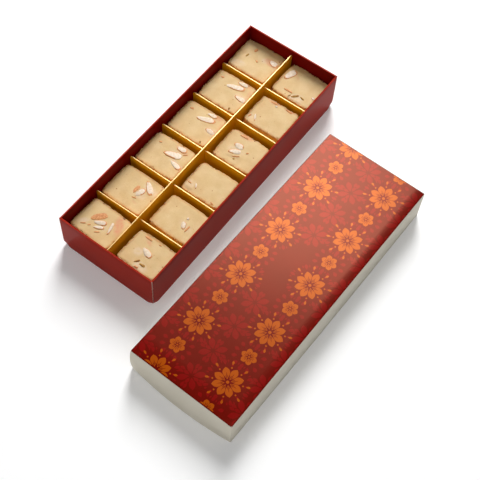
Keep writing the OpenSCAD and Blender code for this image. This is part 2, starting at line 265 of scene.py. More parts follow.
# Dividers. Die-cut card with gold foil on both faces, half-lapped into a grid of two by six
# cells. The long one stands 5 mm above the five cross ones. Their cut edges have no foil.
CARD_ROUND = 1.5 * MM
LAP_PLAY = 0.15 * MM
CROSS_COUNT = 5
CROSS_ASKEW = math.radians(0.35)
# Metallised film over card: a rich yellow gold whose shine is broken up by the card's fibres and
# by the soft waves, about 5 mm apart, that the rollers leave in it.
FOIL_GOLD, FOIL_DEEP, FOIL_PALE = "ffb90f", "ffb208", "ffc118"
ROLLER_WAVE, CARD_HAIR = 5 * MM, 0.8 * MM
gold_foil, tree, shader, place = surface(
    "gold_foil_on_card", FOIL_GOLD, Metallic=0.15, Roughness=0.4, Specular_IOR_Level=0.1)
rolled = node(tree, "ShaderNodeTexNoise", {"Vector": place, "Scale": 1 / ROLLER_WAVE, "Detail": 2.0})
hairs = node(tree, "ShaderNodeTexNoise", {"Vector": place, "Scale": 1 / CARD_HAIR, "Detail": 3.0})
rough = node(tree, "ShaderNodeMapRange", {"Value": hairs, "To Min": 0.33, "To Max": 0.48})
tree.links.new(rough, shader.inputs["Roughness"])
bump = node(tree, "ShaderNodeBump", {"Height": rolled, "Strength": 0.25, "Distance": 0.3 * MM})
tree.links.new(bump, shader.inputs["Normal"])
tree.links.new(node(tree, "ShaderNodeMix", {0: rolled, 6: linear(FOIL_DEEP), 7: linear(FOIL_PALE)},
                    data_type="RGBA"), shader.inputs["Base Color"])
# Cut edges: bright card with the foil's gold dragged over it by the die.
EDGE_GOLD, EDGE_DULL, EDGE_BRIGHT, DRAG_SIZE = "f4d084", "eec66c", "fbdc9c", 1.2 * MM
card_edge, tree, shader, place = surface(
    "cut_edge_of_gold_card", EDGE_GOLD, Metallic=0.25, Roughness=0.4)
specks = node(tree, "ShaderNodeTexNoise", {"Vector": place, "Scale": 1 / DRAG_SIZE, "Detail": 3.0})
tree.links.new(node(tree, "ShaderNodeMix", {0: specks, 6: linear(EDGE_DULL), 7: linear(EDGE_BRIGHT)},
                    data_type="RGBA"), shader.inputs["Base Color"])


def card_outline(reach, foot, top, slots, slot_from, slot_to, slot_half):
    """The outline of a divider: a strip with round top corners and open slots."""
    turn = [math.radians(90 * k / 5) for k in range(6)]
    side, low = CARD_ROUND - reach, top - CARD_ROUND
    upper = [(side - CARD_ROUND * math.cos(a), low + CARD_ROUND * math.sin(a)) for a in turn]
    middle = [] if slot_from < slot_to else [
        (s + o, z) for s in slots for o, z in
        ((-slot_half, top), (-slot_half, slot_to), (slot_half, slot_to), (slot_half, top))]
    lower = [] if slot_from > slot_to else [
        (s + o, z) for s in reversed(slots) for o, z in
        ((slot_half, foot), (slot_half, slot_to), (-slot_half, slot_to), (-slot_half, foot))]
    return ([(-reach, foot)] + upper + middle + [(-s, z) for s, z in reversed(upper)]
            + [(reach, foot)] + lower)


def card_plate(outline, half_card, place):
    """A divider's closed plate: its outline at both faces, joined round the edge."""
    shape = bmesh.new()
    near = [shape.verts.new(place(s, z, -half_card)) for s, z in outline]
    far = [shape.verts.new(place(s, z, half_card)) for s, z in outline]
    shape.faces.new(near[::-1])
    shape.faces.new(far)
    count = len(outline)
    for k in range(count):
        j = (k + 1) % count
        shape.faces.new((near[k], near[j], far[j], far[k])).material_index = 1
    bmesh.ops.recalc_face_normals(shape, faces=shape.faces)
    return shape


cross_low, cross_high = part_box("cross_divider_1")
last_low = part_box(f"cross_divider_{CROSS_COUNT}")[0]
half_card = (cross_high.x - cross_low.x) / 2
pitch = (last_low.x - cross_low.x) / (CROSS_COUNT - 1)
first_x = (cross_low.x + cross_high.x) / 2
lap_z = (cross_low.z + cross_high.z) / 2
slot_half = half_card + LAP_PLAY


def geometry_tree(name, inputs):
    """A Geometry Nodes tree with named inputs; gives it, the inputs inside it and their keys."""
    tree = bpy.data.node_groups.new(name, "GeometryNodeTree")
    tree.interface.new_socket("Geometry", in_out="OUTPUT", socket_type="NodeSocketGeometry")
    keys = {}
    for label, kind in inputs.items():
        socket = tree.interface.new_socket(label, in_out="INPUT", socket_type="NodeSocket" + kind)
        keys[label] = socket.identifier
    return tree, tree.nodes.new("NodeGroupInput").outputs, keys


def grown(name, tree, keys, values, mesh=None):
    """Runs a tree and keeps what it makes as a plain mesh object."""
    made = bpy.data.objects.new(name, mesh or bpy.data.meshes.new(name))
    placed.link(made)
    modifier = made.modifiers.new(name, "NODES")
    modifier.node_group = tree
    for label, value in values.items():
        modifier[keys[label]] = value
    result = made.evaluated_get(bpy.context.evaluated_depsgraph_get())
    plain = bpy.data.meshes.new_from_object(result)
    made.modifiers.remove(modifier)
    made.data = plain
    plain.name = name
    return made


# One cross divider, repeated along the tray by the tree. Each sits a hair askew in its slot.
row_tree, given, keys = geometry_tree("Row of cross dividers", {
    "Card": "Geometry", "Count": "Int", "Pitch": "Float", "First": "Float", "Askew": "Float",
    "Seed": "Int", "Foil": "Material", "Edge": "Material"})
spread = node(row_tree, "ShaderNodeCombineXYZ", {"X": given["Pitch"]})
start = node(row_tree, "ShaderNodeCombineXYZ", {"X": given["First"]})
line = node(row_tree, "GeometryNodeMeshLine", {
    "Count": given["Count"], "Start Location": start, "Offset": spread})
least = node(row_tree, "ShaderNodeMath", {0: given["Askew"], 1: -1.0}, operation="MULTIPLY")
askew = node(row_tree, "FunctionNodeRandomValue", {2: least, 3: given["Askew"], "Seed": given["Seed"]},
             data_type="FLOAT")
turned = node(row_tree, "ShaderNodeCombineXYZ", {"Z": askew})
row = node(row_tree, "GeometryNodeInstanceOnPoints", {
    "Points": line, "Instance": given["Card"], "Rotation": turned})
row = node(row_tree, "GeometryNodeRealizeInstances", {"Geometry": row})
across = node(row_tree, "GeometryNodeInputNormal")
across = node(row_tree, "ShaderNodeVectorMath", {0: across, 1: (1, 0, 0)}, operation="DOT_PRODUCT")
across = node(row_tree, "ShaderNodeMath", {0: across.node.outputs["Value"]}, operation="ABSOLUTE")
is_face = node(row_tree, "FunctionNodeCompare", {0: across, 1: 0.9}, operation="GREATER_THAN")
row = node(row_tree, "GeometryNodeSetMaterial", {"Geometry": row, "Material": given["Edge"]})
row = node(row_tree, "GeometryNodeSetMaterial", {"Geometry": row, "Selection": is_face,
                                                 "Material": given["Foil"]})
node(row_tree, "NodeGroupOutput", {0: row})

outline = card_outline(cross_high.y, cross_low.z, cross_high.z, [0], 1, lap_z - LAP_PLAY, slot_half)
card_mesh = mesh_of(card_plate(outline, half_card, lambda s, z, u: (u, s, z)), "cross_divider_card")
cross_card = grown("cross_divider_cards", row_tree, keys, {
    "Count": CROSS_COUNT, "Pitch": pitch, "First": first_x, "Askew": CROSS_ASKEW, "Seed": 4,
    "Foil": gold_foil, "Edge": card_edge}, card_mesh)
piece("cross_divider_cards", cross_card, [], "cross_dividers",
      [f"cross_divider_{k + 1}" for k in range(CROSS_COUNT)])
long_low, long_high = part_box("long_divider")
slots = [first_x + k * pitch for k in range(CROSS_COUNT)]
outline = card_outline(long_high.x, long_low.z, long_high.z, slots, 0, lap_z + LAP_PLAY, slot_half)
long_card = card_plate(outline, half_card, lambda s, z, u: (s, u, z))
piece("long_divider_card", long_card, [gold_foil, card_edge], "long_divider",
      ["long_divider"])

# Sweets. Barfi cut from a slab of milk fudge: smooth on top, rough on the cut sides, with
# corners and top edges that crumble where the knife has torn them.
PASTE_STEP = 0.5 * MM
PASTE_CORNER = 2.3 * MM
PASTE_EDGE = 0.5 * MM
PASTE_BULGE = 0.6 * MM
EDGE_REACH_TOP, EDGE_REACH_SIDE = 2.3 * MM, 4.0 * MM
TEAR_SPACING, CHUNK_SIZE = 4 * MM, 1.5 * MM
SWELL_SIZE, COARSE_SIZE = 14 * MM, 1.7 * MM
ROUGH_SIDE, ROUGH_TOP = 0.32 * MM, 0.08 * MM
LUMP_SIZE, LUMP_DEPTH = 0.8 * MM, 0.7 * MM
CRUMBS, CRUMB_SIZE = 4.0e5, 0.55 * MM
SHARP_CRUMB = math.radians(60)
SWEETS = 12

sweet_tree, given, keys = geometry_tree("Cut sweet", {
    "Size": "Vector", "Columns": "Int", "Rows": "Int", "Levels": "Int", "Corner": "Float",
    "Edge": "Float", "Bulge": "Float", "Tear depth": "Float", "Torn low": "Vector",
    "Torn high": "Vector", "Seed": "Float", "Crumbs": "Float", "Crumb size": "Float",
    "Paste": "Material", "Crumb": "Material"})
block = node(sweet_tree, "GeometryNodeMeshCube", {
    "Size": given["Size"], "Vertices X": given["Columns"], "Vertices Y": given["Rows"],
    "Vertices Z": given["Levels"]})
spot = node(sweet_tree, "GeometryNodeInputPosition")
spot_parts = node(sweet_tree, "ShaderNodeSeparateXYZ", {0: spot}).node.outputs
half = node(sweet_tree, "ShaderNodeVectorMath", {0: given["Size"], "Scale": 0.5}, operation="SCALE")
half_parts = node(sweet_tree, "ShaderNodeSeparateXYZ", {0: half}).node.outputs
kept_x = node(sweet_tree, "ShaderNodeMath", {0: half_parts["X"], 1: given["Corner"]},
              operation="SUBTRACT")
kept_y = node(sweet_tree, "ShaderNodeMath", {0: half_parts["Y"], 1: given["Corner"]},
              operation="SUBTRACT")
kept = node(sweet_tree, "ShaderNodeCombineXYZ", {"X": kept_x, "Y": kept_y, "Z": half_parts["Z"]})
# A point keeps its place inside the straight part and is drawn onto the round outside it.
least = node(sweet_tree, "ShaderNodeVectorMath", {0: kept, "Scale": -1.0}, operation="SCALE")
anchor = node(sweet_tree, "ShaderNodeVectorMath", {0: spot, 1: least}, operation="MAXIMUM")
anchor = node(sweet_tree, "ShaderNodeVectorMath", {0: anchor, 1: kept}, operation="MINIMUM")
beyond = node(sweet_tree, "ShaderNodeVectorMath", {0: spot, 1: anchor}, operation="SUBTRACT")
outward = node(sweet_tree, "ShaderNodeVectorMath", {0: beyond}, operation="NORMALIZE")
beyond = node(sweet_tree, "ShaderNodeVectorMath", {0: beyond}, operation="ABSOLUTE")
beyond = node(sweet_tree, "ShaderNodeSeparateXYZ", {0: beyond}).node.outputs
reach = node(sweet_tree, "ShaderNodeMath", {0: beyond["X"], 1: beyond["Y"]}, operation="MAXIMUM")
# The round along the top and bottom edges draws a point in from both faces alike.
over_side = node(sweet_tree, "ShaderNodeMath", {0: given["Edge"], 1: given["Corner"]},
                 operation="SUBTRACT")
over_side = node(sweet_tree, "ShaderNodeMath", {0: reach, 1: over_side}, operation="ADD")
over_side = node(sweet_tree, "ShaderNodeMath", {0: over_side, 1: 0.0}, operation="MAXIMUM")
over_top = node(sweet_tree, "ShaderNodeMath", {0: spot_parts["Z"]}, operation="ABSOLUTE")
over_top = node(sweet_tree, "ShaderNodeMath", {0: over_top, 1: half_parts["Z"]}, operation="SUBTRACT")
over_top = node(sweet_tree, "ShaderNodeMath", {0: over_top, 1: given["Edge"]}, operation="ADD")
over_top = node(sweet_tree, "ShaderNodeMath", {0: over_top, 1: 0.0}, operation="MAXIMUM")
slant = node(sweet_tree, "ShaderNodeCombineXYZ", {"X": over_side, "Y": over_top})
slant = node(sweet_tree, "ShaderNodeVectorMath", {0: slant}, operation="LENGTH").node.outputs["Value"]
cut = node(sweet_tree, "ShaderNodeMath", {0: over_side, 1: over_top}, operation="MAXIMUM")
cut = node(sweet_tree, "ShaderNodeMath", {0: cut, 1: slant}, operation="DIVIDE")
cut = node(sweet_tree, "ShaderNodeMath", {0: 1.0, 1: cut}, operation="SUBTRACT")
is_edge = node(sweet_tree, "ShaderNodeMath", {0: slant, 1: 0.0}, operation="GREATER_THAN")
cut = node(sweet_tree, "ShaderNodeMath", {0: cut, 1: is_edge}, operation="MULTIPLY")
drop = node(sweet_tree, "ShaderNodeMath", {0: spot_parts["Z"]}, operation="SIGN")
drop = node(sweet_tree, "ShaderNodeMath", {0: drop, 1: over_top}, operation="MULTIPLY")
drop = node(sweet_tree, "ShaderNodeMath", {0: drop, 1: cut}, operation="MULTIPLY")
drop = node(sweet_tree, "ShaderNodeCombineXYZ", {"Z": drop})
drawn = node(sweet_tree, "ShaderNodeMath", {0: over_side, 1: cut}, operation="MULTIPLY")
drawn = node(sweet_tree, "ShaderNodeMath", {0: reach, 1: drawn}, operation="SUBTRACT")
# The sides bulge a little between the corners, as a soft slab does when it is cut.
share = node(sweet_tree, "ShaderNodeVectorMath", {0: spot, 1: half}, operation="DIVIDE")
along = node(sweet_tree, "ShaderNodeVectorMath", {0: share}, operation="ABSOLUTE")
along = node(sweet_tree, "ShaderNodeSeparateXYZ", {0: along}).node.outputs
along = node(sweet_tree, "ShaderNodeMath", {0: along["X"], 1: along["Y"]}, operation="MINIMUM")
along = node(sweet_tree, "ShaderNodeMath", {0: along, 1: 2.0}, operation="POWER")
along = node(sweet_tree, "ShaderNodeMath", {0: 1.0, 1: along}, operation="SUBTRACT")
outer = node(sweet_tree, "ShaderNodeMath", {0: reach, 1: given["Corner"]}, operation="DIVIDE")
along = node(sweet_tree, "ShaderNodeMath", {0: along, 1: outer}, operation="MULTIPLY")
drawn = node(sweet_tree, "ShaderNodeMath", {0: along, 1: given["Bulge"], 2: drawn},
             operation="MULTIPLY_ADD")
rounded = node(sweet_tree, "ShaderNodeVectorMath", {0: outward, "Scale": drawn}, operation="SCALE")
rounded = node(sweet_tree, "ShaderNodeVectorMath", {0: anchor, 1: rounded}, operation="ADD")
rounded = node(sweet_tree, "ShaderNodeVectorMath", {0: rounded, 1: drop}, operation="SUBTRACT")
# How near a point lies to the top edge: 1 on it, 0 inside the top or low on the side.
from_side = node(sweet_tree, "ShaderNodeMath", {0: given["Corner"], 1: reach}, operation="SUBTRACT")
from_side = node(sweet_tree, "ShaderNodeMath", {0: from_side, 1: EDGE_REACH_TOP}, operation="DIVIDE")
from_top = node(sweet_tree, "ShaderNodeMath", {0: half_parts["Z"], 1: spot_parts["Z"]},
                operation="SUBTRACT")
from_top = node(sweet_tree, "ShaderNodeMath", {0: from_top, 1: EDGE_REACH_SIDE}, operation="DIVIDE")
near = node(sweet_tree, "ShaderNodeMath", {0: from_side, 1: from_top}, operation="MAXIMUM")
near = node(sweet_tree, "ShaderNodeMapRange", {
    "Value": near, "From Min": 0.0, "From Max": 1.0, "To Min": 1.0, "To Max": 0.0},
    interpolation_type="SMOOTHSTEP")
# How freely the side it lies on has torn, from one value for each of the four sides.
side_low = node(sweet_tree, "ShaderNodeVectorMath", {0: share, 1: (0, 0, 0)}, operation="MINIMUM")
side_high = node(sweet_tree, "ShaderNodeVectorMath", {0: share, 1: (0, 0, 0)}, operation="MAXIMUM")
for _ in range(3):
    side_low = node(sweet_tree, "ShaderNodeVectorMath", {0: side_low, 1: side_low},
                    operation="MULTIPLY")
    side_high = node(sweet_tree, "ShaderNodeVectorMath", {0: side_high, 1: side_high},
                     operation="MULTIPLY")
side_low = node(sweet_tree, "ShaderNodeVectorMath", {0: side_low, 1: given["Torn low"]},
                operation="DOT_PRODUCT")
side_high = node(sweet_tree, "ShaderNodeVectorMath", {0: side_high, 1: given["Torn high"]},
                 operation="DOT_PRODUCT")
loose = node(sweet_tree, "ShaderNodeMath", {
    0: side_low.node.outputs["Value"], 1: side_high.node.outputs["Value"]}, operation="MAXIMUM")
shift = node(sweet_tree, "ShaderNodeCombineXYZ", {"X": given["Seed"]})
shifted = node(sweet_tree, "ShaderNodeVectorMath", {0: spot, 1: shift}, operation="ADD")
where = node(sweet_tree, "ShaderNodeTexNoise", {
    "Vector": shifted, "Scale": 1 / TEAR_SPACING, "Detail": 2.0})
where = node(sweet_tree, "ShaderNodeMath", {0: loose, 1: 0.5, 2: where}, operation="MULTIPLY_ADD")
where = node(sweet_tree, "ShaderNodeMapRange", {"Value": where, "From Min": 0.64, "From Max": 0.78})
torn = node(sweet_tree, "ShaderNodeMath", {0: near, 1: where}, operation="MULTIPLY")
block = node(sweet_tree, "GeometryNodeStoreNamedAttribute", {
    "Geometry": block, "Name": "torn", "Value": torn}, data_type="FLOAT", domain="POINT")
block = node(sweet_tree, "GeometryNodeStoreNamedAttribute", {
    "Geometry": block, "Name": "edge", "Value": near}, data_type="FLOAT", domain="POINT")
block = node(sweet_tree, "GeometryNodeSetPosition", {"Geometry": block, "Position": rounded})
torn = node(sweet_tree, "GeometryNodeInputNamedAttribute", {"Name": "torn"}, data_type="FLOAT")
chunks = node(sweet_tree, "ShaderNodeTexVoronoi", {"Vector": shifted, "Scale": 1 / CHUNK_SIZE})
bite = node(sweet_tree, "ShaderNodeMath", {0: chunks, 1: 1.0, 2: 0.25}, operation="MULTIPLY_ADD")
bite = node(sweet_tree, "ShaderNodeMath", {0: bite, 1: torn}, operation="MULTIPLY")
bite = node(sweet_tree, "ShaderNodeMath", {0: bite, 1: given["Tear depth"]}, operation="MULTIPLY")
# Cut sides are rougher than the smoothed top.
facing = node(sweet_tree, "GeometryNodeInputNormal")
upright = node(sweet_tree, "ShaderNodeSeparateXYZ", {0: facing}).node.outputs["Z"]
upright = node(sweet_tree, "ShaderNodeMath", {0: upright}, operation="ABSOLUTE")
upright = node(sweet_tree, "ShaderNodeMapRange", {
    "Value": upright, "From Min": 0.0, "From Max": 0.8, "To Min": ROUGH_SIDE, "To Max": ROUGH_TOP})
swell = node(sweet_tree, "ShaderNodeTexNoise", {
    "Vector": shifted, "Scale": 1 / SWELL_SIZE, "Detail": 1.0})
swell = node(sweet_tree, "ShaderNodeMath", {0: swell, 1: 0.5}, operation="SUBTRACT")
coarse = node(sweet_tree, "ShaderNodeTexNoise", {
    "Vector": shifted, "Scale": 1 / COARSE_SIZE, "Detail": 3.0})
coarse = node(sweet_tree, "ShaderNodeMath", {0: coarse, 1: 0.5}, operation="SUBTRACT")
rise = node(sweet_tree, "ShaderNodeMath", {0: swell, 1: 1.2, 2: coarse}, operation="MULTIPLY_ADD")
rise = node(sweet_tree, "ShaderNodeMath", {0: rise, 1: upright}, operation="MULTIPLY")
rise = node(sweet_tree, "ShaderNodeMath", {0: rise, 1: bite}, operation="SUBTRACT")
rise = node(sweet_tree, "ShaderNodeVectorMath", {0: facing, "Scale": rise}, operation="SCALE")
block = node(sweet_tree, "GeometryNodeSetPosition", {"Geometry": block, "Offset": rise})
# Loose crumbs stick to the torn stretches.
density = node(sweet_tree, "ShaderNodeMath", {0: torn, 1: given["Crumbs"]}, operation="MULTIPLY")
points = node(sweet_tree, "GeometryNodeDistributePointsOnFaces", {
    "Mesh": block, "Density": density, "Seed": 3}, distribute_method="RANDOM")
lump = node(sweet_tree, "GeometryNodeMeshIcoSphere", {"Radius": 1.0, "Subdivisions": 2})
least = node(sweet_tree, "ShaderNodeMath", {0: given["Crumb size"], 1: 0.35}, operation="MULTIPLY")
bigness = node(sweet_tree, "FunctionNodeRandomValue", {
    2: least, 3: given["Crumb size"], "Seed": 11}, data_type="FLOAT")
twist = node(sweet_tree, "FunctionNodeRandomValue", {
    0: (0, 0, 0), 1: (math.tau, math.tau, math.tau), "Seed": 5}, data_type="FLOAT_VECTOR")
crumbs = node(sweet_tree, "GeometryNodeInstanceOnPoints", {
    "Points": points, "Instance": lump, "Scale": bigness, "Rotation": twist})
crumbs = node(sweet_tree, "GeometryNodeRealizeInstances", {"Geometry": crumbs})
lumpy = node(sweet_tree, "ShaderNodeTexNoise", {
    "Vector": shifted, "Scale": 1 / LUMP_SIZE, "Detail": 2.0})
lumpy = node(sweet_tree, "ShaderNodeMath", {0: lumpy, 1: 0.5}, operation="SUBTRACT")
lumpy = node(sweet_tree, "ShaderNodeMath", {0: lumpy, 1: LUMP_DEPTH}, operation="MULTIPLY")
lumpy = node(sweet_tree, "ShaderNodeVectorMath", {0: facing, "Scale": lumpy}, operation="SCALE")
crumbs = node(sweet_tree, "GeometryNodeSetPosition", {"Geometry": crumbs, "Offset": lumpy})
crumbs = node(sweet_tree, "GeometryNodeSetMaterial", {"Geometry": crumbs, "Material": given["Crumb"]})
block = node(sweet_tree, "GeometryNodeSetMaterial", {"Geometry": block, "Material": given["Paste"]})
joined = sweet_tree.nodes.new("GeometryNodeJoinGeometry")
for part in (crumbs, block):
    sweet_tree.links.new(part, joined.inputs[0])
whole = node(sweet_tree, "GeometryNodeRealizeInstances", {"Geometry": joined.outputs[0]})
node(sweet_tree, "NodeGroupOutput", {0: whole})

# Milk fudge with ghee: dense, warm cream, a dull gloss on top. Light enters a millimetre or so.
# Colour drifts over about 9 mm, grains of sugar and milk solids are about 0.5 mm, and roasted
# specks lie some 4 mm apart. Its edges and upper sides are warmer, partly from browning and partly
# as a painted glow of the light the gold dividers throw on them, and its torn stretches browner.
# Round the nuts the ghee has drawn their colour into the paste: rosy where skin lies, pale beside
# flesh and olive beside pistachio.
PASTE, PASTE_DEEP, PASTE_PALE, PASTE_GRAIN = "dcbe86", "d9b77f", "e2c48e", "bf9455"
ROASTED_SPECK, BROWNED_EDGE_AND_PAINTED_GLOW, BROWNED_CRUST = "b06a26", "cc8a3c", "a35f28"
ROSY, PALE, OLIVE = "rosy", "pale", "olive"
STAIN_COLOURS = {PALE: "e6cdae", ROSY: "dc9c72", OLIVE: "9a6c3a"}
DRIFT_SIZE, GRAIN_SIZE, MOTTLE_SIZE = 9 * MM, 0.5 * MM, 2.2 * MM
SPECK_SPACING, CLOT_SIZE = 4 * MM, 1.3 * MM
paste, tree, shader, place = surface(
    "milk_fudge_barfi", PASTE, Roughness=0.6, Specular_IOR_Level=0.35, Subsurface_Weight=0.2,
    Subsurface_Radius=(2.2 * MM, 1.3 * MM, 0.6 * MM), Subsurface_Scale=1.0)
drift = node(tree, "ShaderNodeTexNoise", {"Vector": place, "Scale": 1 / DRIFT_SIZE, "Detail": 4.0})
grains = node(tree, "ShaderNodeTexNoise", {"Vector": place, "Scale": 1 / GRAIN_SIZE, "Detail": 4.0})
ground = node(tree, "ShaderNodeMapRange", {"Value": drift, "From Min": 0.35, "From Max": 0.65})
ground = node(tree, "ShaderNodeMix", {0: ground, 6: linear(PASTE_DEEP), 7: linear(PASTE_PALE)},
              data_type="RGBA")
grain = node(tree, "ShaderNodeMapRange", {"Value": grains, "From Min": 0.42, "From Max": 0.7,
                                          "To Min": 0.0, "To Max": 0.25})
ground = node(tree, "ShaderNodeMix", {0: grain, 6: ground, 7: linear(PASTE_GRAIN)}, data_type="RGBA")
mottle = node(tree, "ShaderNodeTexNoise", {"Vector": place, "Scale": 1 / MOTTLE_SIZE, "Detail": 3.0})
mottle = node(tree, "ShaderNodeMapRange", {"Value": mottle, "From Min": 0.36, "From Max": 0.6,
                                           "To Min": 0.45, "To Max": 1.0})
for stain, colour in STAIN_COLOURS.items():
    stained = node(tree, "ShaderNodeAttribute", attribute_name=stain).node.outputs["Fac"]
    stained = node(tree, "ShaderNodeMath", {0: stained, 1: mottle}, operation="MULTIPLY")
    ground = node(tree, "ShaderNodeMix", {0: stained, 6: ground, 7: linear(colour)}, data_type="RGBA")
specks = node(tree, "ShaderNodeTexVoronoi", {"Vector": place, "Scale": 1 / SPECK_SPACING})
pick = node(tree, "ShaderNodeSeparateColor", {0: specks.node.outputs["Color"]})
size = node(tree, "ShaderNodeMapRange", {"Value": pick, "From Min": 0.4, "From Max": 1.0,
                                         "To Min": -0.02, "To Max": 0.15})
specks = node(tree, "ShaderNodeMath", {0: specks, 1: size}, operation="SUBTRACT")
specks = node(tree, "ShaderNodeMapRange", {"Value": specks, "From Min": -0.03, "From Max": 0.03,
                                           "To Min": 0.85, "To Max": 0.0})
ground = node(tree, "ShaderNodeMix", {0: specks, 6: ground, 7: linear(ROASTED_SPECK)}, data_type="RGBA")
# Warmer towards the top edges and down the upper sides: partly edge browning, partly a painted glow
# standing in for light thrown on them by the gold dividers.
edge_glow_and_browning = node(tree, "ShaderNodeAttribute", attribute_name="edge").node.outputs["Fac"]
edge_glow_and_browning = node(tree, "ShaderNodeMath", {0: edge_glow_and_browning, 1: mottle}, operation="MULTIPLY")
edge_glow_and_browning = node(tree, "ShaderNodeMath", {0: edge_glow_and_browning, 1: 0.75}, operation="MULTIPLY")
ground = node(tree, "ShaderNodeMix", {0: edge_glow_and_browning, 6: ground, 7: linear(BROWNED_EDGE_AND_PAINTED_GLOW)}, data_type="RGBA")
torn = node(tree, "ShaderNodeAttribute", attribute_name="torn").node.outputs["Fac"]
clots = node(tree, "ShaderNodeTexNoise", {"Vector": place, "Scale": 1 / CLOT_SIZE, "Detail": 3.0})
clots = node(tree, "ShaderNodeMapRange", {"Value": clots, "From Min": 0.42, "From Max": 0.6})
browned = node(tree, "ShaderNodeMath", {0: torn, 1: clots}, operation="MULTIPLY")
browned = node(tree, "ShaderNodeMath", {0: browned, 1: 0.85}, operation="MULTIPLY")
ground = node(tree, "ShaderNodeMix", {0: browned, 6: ground, 7: linear(BROWNED_CRUST)},
              data_type="RGBA")
tree.links.new(ground, shader.inputs["Base Color"])
bump = node(tree, "ShaderNodeBump", {"Height": grains, "Strength": 0.3, "Distance": 0.12 * MM})
tree.links.new(bump, shader.inputs["Normal"])

# Crumbs are either browned milk solids or flakes of dry sugar and nut.
CRUMB, CRUMB_BROWN, CRUMB_DRY, FLAKE_SIZE = "c48a4a", "96541f", "ecd3a6", 1.6 * MM
crumb_paste, tree, shader, place = surface("browned_barfi_crumb", CRUMB, Roughness=0.75)
mix = node(tree, "ShaderNodeTexNoise", {"Vector": place, "Scale": 1 / FLAKE_SIZE, "Detail": 2.0})
mix = node(tree, "ShaderNodeMapRange", {"Value": mix, "From Min": 0.44, "From Max": 0.56})
tree.links.new(node(tree, "ShaderNodeMix", {0: mix, 6: linear(CRUMB_BROWN), 7: linear(CRUMB_DRY)},
                    data_type="RGBA"), shader.inputs["Base Color"])


def lie_of(points):
    """Centre, turn and size in plan of an upright block that lies within 3 degrees of the axes."""
    best = None
    for tenth in range(-30, 31):
        turn = math.radians(tenth / 10)
        c, s = math.cos(turn), math.sin(turn)
        along, across = points[:, 0] * c + points[:, 1] * s, points[:, 1] * c - points[:, 0] * s
        size = (along.max() - along.min(), across.max() - across.min())
        if best is None or size[0] * size[1] < best[0]:
            middle = ((along.max() + along.min()) / 2, (across.max() + across.min()) / 2)
            centre = Vector((middle[0] * c - middle[1] * s, middle[0] * s + middle[1] * c))
            best = (size[0] * size[1], centre, turn, size)
    return best[1:]


def points_of(name):
    """The corner points of a CAD node's mesh."""
    mesh = frame["nodes"][name].data
    found = np.empty(len(mesh.vertices) * 3)
    mesh.vertices.foreach_get("co", found)
    return found.reshape(-1, 3)


# How freely each side of each sweet has torn, in the order -X, +X, -Y, +Y, and how deep in mm.
TORN = [
    (0.60, 0.25, 0.30, 0.75, 0.7), (0.30, 0.30, 0.25, 0.45, 0.5), (0.45, 0.30, 0.30, 0.80, 0.8),
    (0.45, 0.30, 0.35, 0.50, 0.6), (0.45, 0.30, 0.35, 0.80, 0.8), (0.50, 0.35, 0.30, 0.45, 0.6),
    (0.62, 0.45, 0.55, 0.30, 0.8), (0.45, 0.25, 0.40, 0.35, 0.6), (0.40, 0.35, 0.90, 0.50, 1.0),
    (0.50, 0.40, 0.85, 0.35, 0.9), (0.45, 0.60, 1.00, 0.40, 1.1), (0.45, 0.50, 0.60, 0.25, 0.8)]
# Stains on each sweet: place along and across as shares of half the sweet, length and width in
# mm, turn in degrees, kind and strength.
STAINS = [
    [(0.47, -0.65, 17.5, 7.3, 29, ROSY, 0.75), (-0.4, 0.62, 9.8, 4.5, -40, PALE, 0.45),
     (-0.11, -0.25, 7.9, 6.2, -28, PALE, 0.25)],
    [(0.46, -0.59, 14.6, 7.4, 78, PALE, 0.45), (-0.05, -0.39, 12.3, 7.4, 83, PALE, 0.35),
     (-0.51, -0.41, 6, 2.4, 79, ROSY, 0.25)],
    [(0.75, -0.4, 13.6, 7, 81, ROSY, 0.35), (-0.14, -0.69, 16.9, 5.9, 75, PALE, 0.4),
     (0.41, -0.36, 16.1, 6, 81, PALE, 0.25)],
    [(-0.01, -0.76, 12.4, 7.3, 87, PALE, 0.4), (0.85, -0.59, 8.8, 4.6, 83, ROSY, 0.45),
     (0.27, -0.95, 16.2, 3.3, 13, ROSY, 0.3)],
    [(0.03, -0.7, 13.4, 7.7, 88, PALE, 0.4), (0.9, -0.53, 9, 4.9, -89, ROSY, 0.45),
     (0.29, -0.91, 18.3, 3.4, 12, ROSY, 0.3)],
    [(0.3, -0.64, 14.6, 6.8, 78, ROSY, 0.7), (0.23, -0.31, 6.8, 6.5, -45, PALE, 0.4),
     (-0.66, 0.62, 14, 7.5, -72, PALE, 0.35), (-1.04, 0.05, 14.2, 4.2, -76, ROSY, 0.2)],
    [(-0.12, 0.39, 8.2, 7.7, -40, PALE, 0.4), (0.7, 0.38, 10.8, 4.1, 54, ROSY, 0.55),
     (-0.77, -0.16, 12.4, 8.5, 86, PALE, 0.5), (-1.04, -0.22, 10.1, 3.1, -87, OLIVE, 0.4),
     (0.06, 0.08, 10.2, 5.9, 61, PALE, 0.3)],
    [(-0.13, -0.42, 13.8, 7.1, 72, PALE, 0.25), (-1.08, 0.11, 10.4, 2.4, 86, ROSY, 0.2)],
    [(-0.55, 0.79, 10.8, 8.3, -59, PALE, 0.4), (-0.8, 0.69, 8.3, 3.4, 84, OLIVE, 0.3)],
    [(0.9, 0.25, 12, 5.6, -89, ROSY, 0.5), (-0.15, 0.23, 13.6, 8.4, -84, PALE, 0.35),
     (-0.53, 0.13, 11.9, 3.8, -78, OLIVE, 0.25)],
    [(0.9, 0.32, 12, 4.9, -88, ROSY, 0.55), (0.93, -0.46, 9, 3.9, 88, ROSY, 0.6),
     (-0.61, 0.75, 10.1, 6.8, -84, PALE, 0.35)],
    [(-0.79, -0.26, 13, 10.4, -56, PALE, 0.45), (-0.99, -0.17, 14.2, 3, -77, OLIVE, 0.3),
     (0.37, 0.42, 6.8, 2.6, 57, ROSY, 0.35)]]
